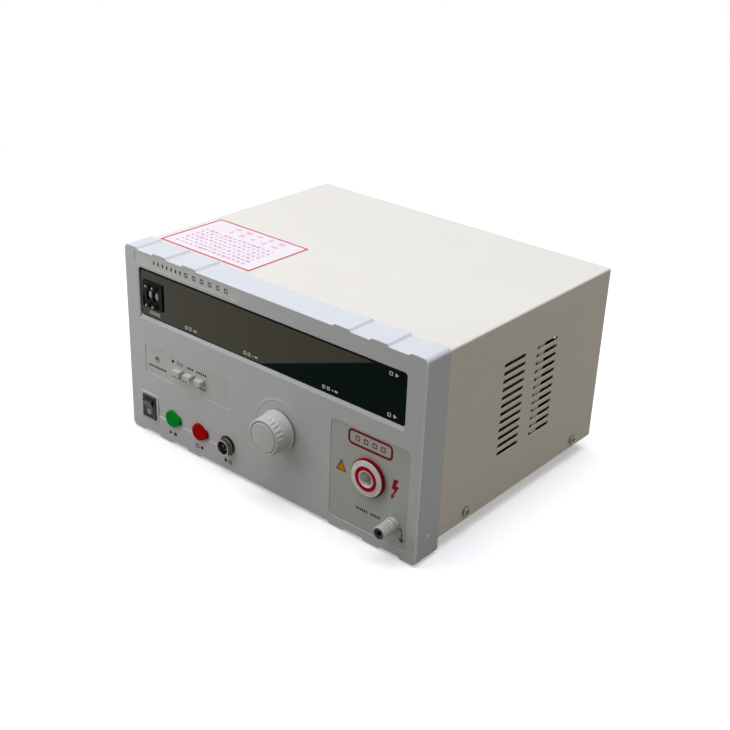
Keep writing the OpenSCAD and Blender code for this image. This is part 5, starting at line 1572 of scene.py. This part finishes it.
@dataclass
class Regulator(Group):
    """The voltage knob and the variable transformer that it turns."""

    copies: tuple[Copy, ...] = (
        Copy("regulator_shaft", Palette.STEEL, 0.3), Copy("regulator_base", Palette.CAST, 0.8, 3),
        Copy("regulator_brush_arm", Palette.BRASS, 0.4, 2, True))
    x: float = 20.0
    z: float = 63.0
    knob_radius: float = 17.5
    knob_height: float = 17.6
    knob_gap: float = 1.4
    bore: float = 3.05
    bore_depth: float = 13.6
    flutes: int = 24
    # The winding's inner and outer radius and its length
    winding: tuple[float, float, float] = (18.0, 45.0, 46.0)
    winding_depth: float = 94.0
    wire: float = 0.55
    turns: int = 120

    def build(self, maker: Maker) -> None:
        """Makes the knob, the shaft, the brush arm, the winding and the base."""
        super().build(maker)
        self.knob(maker)
        self.coil(maker)

    def knob(self, maker: Maker) -> None:
        """Makes the fluted knob from its turned section."""
        r, h = self.knob_radius, self.knob_height
        disc, side_top, side_low = r - 4.9, h - 2.2, 2.5
        front = [(0, h), (disc - 0.7, h - 0.15), (disc, h - 0.6), (disc + 0.05, h - 1.7),
                 (disc + 0.65, h - 1.7), (disc + 0.75, h - 0.7), (disc + 1.5, h - 0.5), (r - 2.15, h - 0.95),
                 (r - 1.9, side_top)]
        side = [(r - 1.9 + (side_top - z) * 0.066, z) for z in
                [side_top - (side_top - side_low) * i / 24 for i in range(1, 25)]]
        skirt = [(r - 0.75, 1.9), (r - 0.3, 1.75), (r, 1.35), (r, 0.25), (r - 0.25, 0)]
        bore = [(self.bore, 0), (self.bore, self.bore_depth), (0, self.bore_depth)]
        flutes = Fluted(self.flutes, 0.95, (h * 0.54, h * 0.64), (h - 2.7, h - 1.7), (r - 2.5, r - 1.9), 2.4)
        maker.turned("knob", softened(front, 0.3, 2) + side + skirt + bore, 12, flutes,
                     panel(self.x, self.z, -self.knob_gap), Palette.KNOB_GREY,
                     Seat("regulator_rotor", "off_white_plastic", ("voltage_knob",)))

    def coil(self, maker: Maker) -> None:
        """Makes the toroid's core and its turns of wire."""
        inner, outer, length = self.winding
        place = panel(self.x, self.z, self.winding_depth)
        inset = self.wire * 2
        middle = ((inner + outer) / 2, length / 2)
        section = rounded_box(outer - inner - 2 * inset, length - 2 * inset, 3.2, 5, *middle)
        seat = Seat("chassis", "winding_copper", ("regulator_winding",))
        maker.build("winding_core", lathe(section, 72), place, Palette.TAPE, seat)
        loop = [(x, 0.0, z) for x, z in rounded_box(outer - inner - inset, length - inset, 3.6, 4, *middle)]
        turn = tube(loop, self.wire, 6, closed=True)
        mesh = Ringed(self.turns).run(bpy.data.meshes.new("empty"), Palette.COPPER, turn)
        mesh.transform(place)
        maker.seat("winding_turns", mesh, None, Seat("chassis", "winding_copper"))


@dataclass
class Output(Group):
    """The high-voltage socket and the ground post."""

    copies: tuple[Copy, ...] = (
        Copy("hv_socket_body", Palette.INSULATOR, 0.4, 3), Copy("hv_socket_gasket", Palette.GASKET, 0.18),
        Copy("hv_socket_ring", Palette.RING_RED, 0.12), Copy("hv_socket_contact", Palette.BRASS, 0.25),
        Copy("ground_post_collar", Palette.POST_GREY, 0.3), Copy("ground_post_bush", Palette.BLACK, 0.2),
        Copy("panel_nuts", Palette.NICKEL, 0.3))
    post: Point2 = (137.0, 27.5)
    post_out: float = 16.5
    cap_radius: float = 5.5
    cap_back: float = 2.9
    cap_bore: float = 3.05
    # The radius and depth of the bush's seat in the cap's end
    bush: Point2 = (4.6, 2.4)
    flutes: int = 18
    stud_black: float = 2.5

    def build(self, maker: Maker) -> None:
        """Makes the socket's pieces and the post's."""
        super().build(maker)
        maker.dress("hv_lead", Palette.SILICONE)
        stud = maker.refine("ground_post_stud", Palette.NICKEL, 0.15)
        maker.two_tone(stud, Palette.BLACK, lambda middle: spot(middle)[1] < -self.stud_black)
        self.cap(maker)

    def cap(self, maker: Maker) -> None:
        """Makes the post's fluted cap from its turned section."""
        r, length = self.cap_radius, self.post_out - self.cap_back
        side = [(r, length - 0.5 - (length - 3.2) * i / 12) for i in range(13)]
        outside = [(self.bush[0], length), (r - 0.5, length), (r - 0.1, length - 0.2), *side,
                   (r + 0.1, 1.9), (r + 0.4, 1.4), (r + 0.4, 0.3), (r + 0.15, 0)]
        seat_z = length - self.bush[1]
        inside = [(self.cap_bore, 0), (self.cap_bore, seat_z), (self.bush[0], seat_z)]
        flutes = Fluted(self.flutes, 0.5, (2.0, 3.4), (length, length + 1), (r - 0.7, r - 0.2), 2.0)
        maker.turned("post_cap", [*outside, *inside], 8, flutes, panel(*self.post, -self.cap_back),
                     Palette.POST_GREY, Seat("post_cap", "light_grey_plastic", ("ground_post_cap",)))


@dataclass
class Case(Group):
    """The steel case: cover, base pan, rear panel, screws, feet and the label on top."""

    copies: tuple[Copy, ...] = (
        Copy("cover", Palette.COVER, 0.22), Copy("base_pan", Palette.COVER, 0.25),
        Copy("rear_panel", Palette.COVER, 0.22), Copy("chassis_screws", Palette.NICKEL, 0.15),
        Copy("top_label", Palette.LABEL, 0.06))
    label_middle: Point2 = (-98.3, 67.3)
    label_size: Point2 = (107.0, 72.5)
    label_z: float = 169.25
    border: float = 1.9
    paper_rim: float = 1.2
    # A screw head's radius and height, and its shank's radius and length
    screw_head: Point2 = (4.0, 2.4)
    shank: Point2 = (1.5, 6.0)
    # A foot's radius at its lower and upper end, and its height
    foot: tuple[float, float, float] = (8.0, 9.4, 13.2)

    def build(self, maker: Maker) -> None:
        """Makes the case's pieces."""
        super().build(maker)
        maker.repeat("cover_screw_heads", "cover_screws", self.screw(*self.screw_head, *self.shank),
                     Palette.AGED_NICKEL)
        maker.repeat("rubber_feet", "feet", self.foot_form(), Palette.FOOT)
        self.label(maker)

    @staticmethod
    def screw(head: float, high: float, shank: float, long: float) -> Form:
        """Returns a pan-head screw with a cross recess, its top at Z 0."""
        sides, wide, deep = 48, head * 0.13, high * 0.55
        rings = [0.0] + [head * share for share in (0.3, 0.5, 0.62, 0.8, 0.93, 1.0)]
        tops = [0, -0.02, -0.05, -0.1, -0.22, -0.5, -0.95]
        points, rows = [], []
        for ring, top in zip(rings, tops):
            row = []
            for i in range(sides):
                x, y = circle(ring, sides)[i]
                cross = ring <= head * 0.55 and min(abs(x), abs(y)) <= wide + 1e-6
                row.append(len(points))
                points.append((x, y, top * high / 2.4 - (deep if cross else 0)))
            rows.append(row)
        for ring, z in [(head, -high + 0.1), (head - 0.1, -high), (shank, -high), (shank, -high - long + 0.5),
                        (shank * 0.5, -high - long)]:
            rows.append(list(range(len(points), len(points) + sides)))
            points += [(x, y, z) for x, y in circle(ring, sides)]
        faces = [(low[i], low[(i + 1) % sides], high_row[(i + 1) % sides], high_row[i])
                 for low, high_row in zip(rows, rows[1:]) for i in range(sides)]
        return Form(points, faces + [tuple(rows[0]), tuple(reversed(rows[-1]))])

    def foot_form(self) -> Form:
        """Returns a rubber foot with a deep screw well, its wide top at Z 0."""
        low, high, tall = self.foot
        outside = [(1.6, 0), (high, 0), (high - 0.1, -1.2), (low + 0.15, -tall + 1.2), (low - 0.8, -tall)]
        well = [(4.6, -tall), (4.0, -tall + 0.8), (4.0, -3.0), (1.6, -3.0)]
        return lathe(softened(outside + well, 0.5, 2), 48)

    def label(self, maker: Maker) -> None:
        """Makes the blank label with its red border and rows of pale bars."""
        x, depth = self.label_middle
        wide, tall = (size - self.paper_rim for size in self.label_size)
        line = 2 * self.border
        place = level(x, depth, self.label_z)
        seat = Seat("chassis", "label_paper")
        border = inked(rounded_box(wide, tall, 0.8, 3), rounded_box(wide - line, tall - line, 0.4, 3))
        maker.build("label_border", border, place, Palette.LABEL_RED, seat)
        for name, x, y, shape, finish in [
                ("label_rows", -2.0, -9.0, Dashed(4.0, 2.8, 5.6, 5.8, 15, 7, 3), Palette.LABEL_ROSE),
                ("label_heading", 4.0, 22.5, Dashed(7.6, 5.2, 13.0, 9.0, 5, 2, 8), Palette.LABEL_BLUSH)]:
            mesh = shape.run(bpy.data.meshes.new("empty"), finish)
            mesh.transform(place @ Matrix.Translation((x, y, INK_HEIGHT / 2)))
            maker.seat(name, mesh, None, seat)


@dataclass
class Insides(Group):
    """What the case holds: the high-voltage transformer and the control board."""

    copies: tuple[Copy, ...] = (
        Copy("transformer_core", Palette.CORE, 0.4), Copy("transformer_coil", Palette.TAPE, 1.2, 3),
        Copy("terminal_strip", Palette.POST_GREY, 0.3), Copy("control_board", Palette.PCB, 0.12),
        Copy("relays", Palette.RELAY, 0.6, 3), Copy("capacitors", Palette.SLEEVE, 0.9, 3))


@dataclass
class RearFittings(Group):
    """The mains inlet with its fuse drawer, and the earth terminal."""

    copies: tuple[Copy, ...] = (
        Copy("mains_inlet", Palette.BLACK, 0.6, 3), Copy("inlet_pins", Palette.NICKEL, 0.4),
        Copy("fuse_drawer", Palette.BLACK, 0.35), Copy("earth_terminal", Palette.BRASS, 0.2))


# Studio


@dataclass(frozen=True)
class Lamp:
    """One soft lamp: its name, place, size in metres, power in watts and warmth."""

    name: str
    place: Point3
    size: float
    power: float
    colour: Rgb = (1.0, 1.0, 1.0)


@dataclass
class Studio:
    """The floor, the lamps, the world and the camera."""

    eye: Point3 = (0.59104, -0.71483, 0.52460)
    azimuth: float = 39.285
    elevation: float = 26.009
    roll: float = 2.290
    lens: float = 58.96
    ambient: float = 0.1
    floor_reach: float = 12000.0
    floor_bounce: Rgb = (138, 129, 112)
    floor_colour: Rgb = (228, 228, 228)
    floor_glow: float = 0.38
    floor_fade: Point2 = (420.0, 1000.0)
    card_height: float = 0.4
    card_corners: tuple[Point2, ...] = ((-190, -259), (60, -259), (60, -430), (-22, -430))
    card_colour: Rgb = (70, 122, 134)
    lamps: tuple[Lamp, ...] = (
        Lamp("overhead", (0.1, 0.1, 2.2), 1.8, 51.0, (0.955, 0.985, 1.06)),
        Lamp("key", (-0.75, -0.95, 1.9), 0.7, 6.0, (1.0, 0.97, 0.94)),
        Lamp("front_fill", (-0.5, -0.5, 0.4), 0.4, 1.3, (1.0, 0.98, 0.96)),
        Lamp("side_fill", (1.1, 0.45, 0.45), 0.5, 0.68, (1.0, 0.82, 0.52)),
    )

    def build(self) -> None:
        """Sets the whole stage."""
        reach = self.floor_reach
        square = [(-reach, -reach), (reach, -reach), (reach, reach), (-reach, reach)]
        self.sheet("floor", square, 0, self.paper)
        self.sheet("black_card", self.card_corners, self.card_height, self.black_card)
        self.world()
        for lamp in self.lamps:
            self.lamp(lamp)
        self.camera()
        bpy.context.scene.view_settings.view_transform = "Standard"

    @staticmethod
    def sheet(name: str, corners: Sequence[Point2], height: float, surface: Callable[[Graph], Wire]) -> None:
        """Lays a flat sheet on the stage.

        Args:
            name: The sheet's name.
            corners: Its corners in millimetres, anticlockwise.
            height: How high it lies in millimetres.
            surface: Builds its shader.
        """
        mesh = bpy.data.meshes.new(name)
        mesh.from_pydata([(x * MM, y * MM, height * MM) for x, y in corners], [], [(0, 1, 2, 3)])
        finish = bpy.data.materials.new(name + "_look")
        graph = emptied(finish)
        graph.add("ShaderNodeOutputMaterial", values={"Surface": surface(graph)})
        mesh.materials.append(finish)
        linked(name, mesh)

    def paper(self, graph: Graph) -> Wire:
        """Returns the floor's shader, white to the eye and duller to the light that it throws back."""
        dull, white = (graph.wire("ShaderNodeBsdfDiffuse", None, {"Color": linear(rgb)})
                       for rgb in (self.floor_bounce, self.floor_colour))
        near = graph.wire("ShaderNodeAddShader", None, {0: white, 1: graph.glow(WHITE, self.floor_glow)})
        far = graph.vector("LENGTH", graph.place(), output="Value").eased(*self.floor_fade)
        return graph.either(self.seen(graph), dull, graph.either(far, near, graph.glow(WHITE)))

    @staticmethod
    def seen(graph: Graph) -> Wire:
        """Returns 1 for rays that see the stage itself: from the camera, a reflection or glass."""
        path = graph.add("ShaderNodeLightPath")
        camera, glossy, through = (Wire(graph, path.outputs[name]) for name in (
            "Is Camera Ray", "Is Glossy Ray", "Is Transmission Ray"))
        return graph.math("MAXIMUM", graph.math("MAXIMUM", camera, glossy), through)

    def black_card(self, graph: Graph) -> Wire:
        """Returns the shader of the card that the window mirrors, and that is clear to all but mirrors."""
        path = graph.add("ShaderNodeLightPath")
        clear = graph.wire("ShaderNodeBsdfTransparent", None, {"Color": linear(WHITE)})
        return graph.either(Wire(graph, path.outputs["Is Glossy Ray"]), clear, graph.glow(self.card_colour))

    def world(self) -> None:
        """Makes a plain world that is white to the eye and gives a low, even light."""
        world = bpy.data.worlds.new("studio_world")
        graph = emptied(world)
        strength = self.seen(graph) * (1.0 - self.ambient) + self.ambient
        shade = graph.wire("ShaderNodeBackground", None, {"Color": linear(WHITE), "Strength": strength})
        graph.add("ShaderNodeOutputWorld", values={"Surface": shade})
        bpy.context.scene.world = world

    def lamp(self, lamp: Lamp) -> None:
        """Hangs one square soft lamp that points at the object's middle."""
        light = bpy.data.lights.new(lamp.name, "AREA")
        light.shape = "SQUARE"
        light.size = lamp.size
        light.energy = lamp.power
        light.color = lamp.colour
        hung = linked(lamp.name, light)
        hung.location = lamp.place
        aim = Vector((0, 0, 0.08)) - Vector(lamp.place)
        hung.rotation_euler = aim.to_track_quat("-Z", "Y").to_euler()

    def camera(self) -> None:
        """Sets up the camera at the photograph's place, turn and lens."""
        az, el, roll = (math.radians(value) for value in (self.azimuth, self.elevation, self.roll))
        back = Vector((math.sin(az) * math.cos(el), -math.cos(az) * math.cos(el), math.sin(el)))
        right = (-back).cross(Vector((0, 0, 1))).normalized()
        up = right.cross(-back)
        across = right * math.cos(roll) + up * math.sin(roll)
        over = up * math.cos(roll) - right * math.sin(roll)
        turn = Matrix((across, over, back)).transposed().to_4x4()
        lens = bpy.data.cameras.new("photo_camera")
        lens.lens = self.lens
        lens.sensor_width = 36
        lens.clip_start, lens.clip_end = 0.01, 100
        camera = linked("photo_camera", lens)
        camera.matrix_world = Matrix.Translation(self.eye) @ turn
        bpy.context.scene.camera = camera


def main() -> None:
    logging.basicConfig(level=logging.INFO, format="%(message)s")
    Studio().build()
    maker = Maker()
    for part in (Bezel(), Display(), PresetSwitch(), StartRow(), KeyGroup(), Regulator(), Output(), Case(),
                 Insides(), RearFittings()):
        part.build(maker)
        LOG.info("%s is built", type(part).__name__)
    LOG.info("%d pieces", maker.made)


if __name__ == "__main__":
    main()
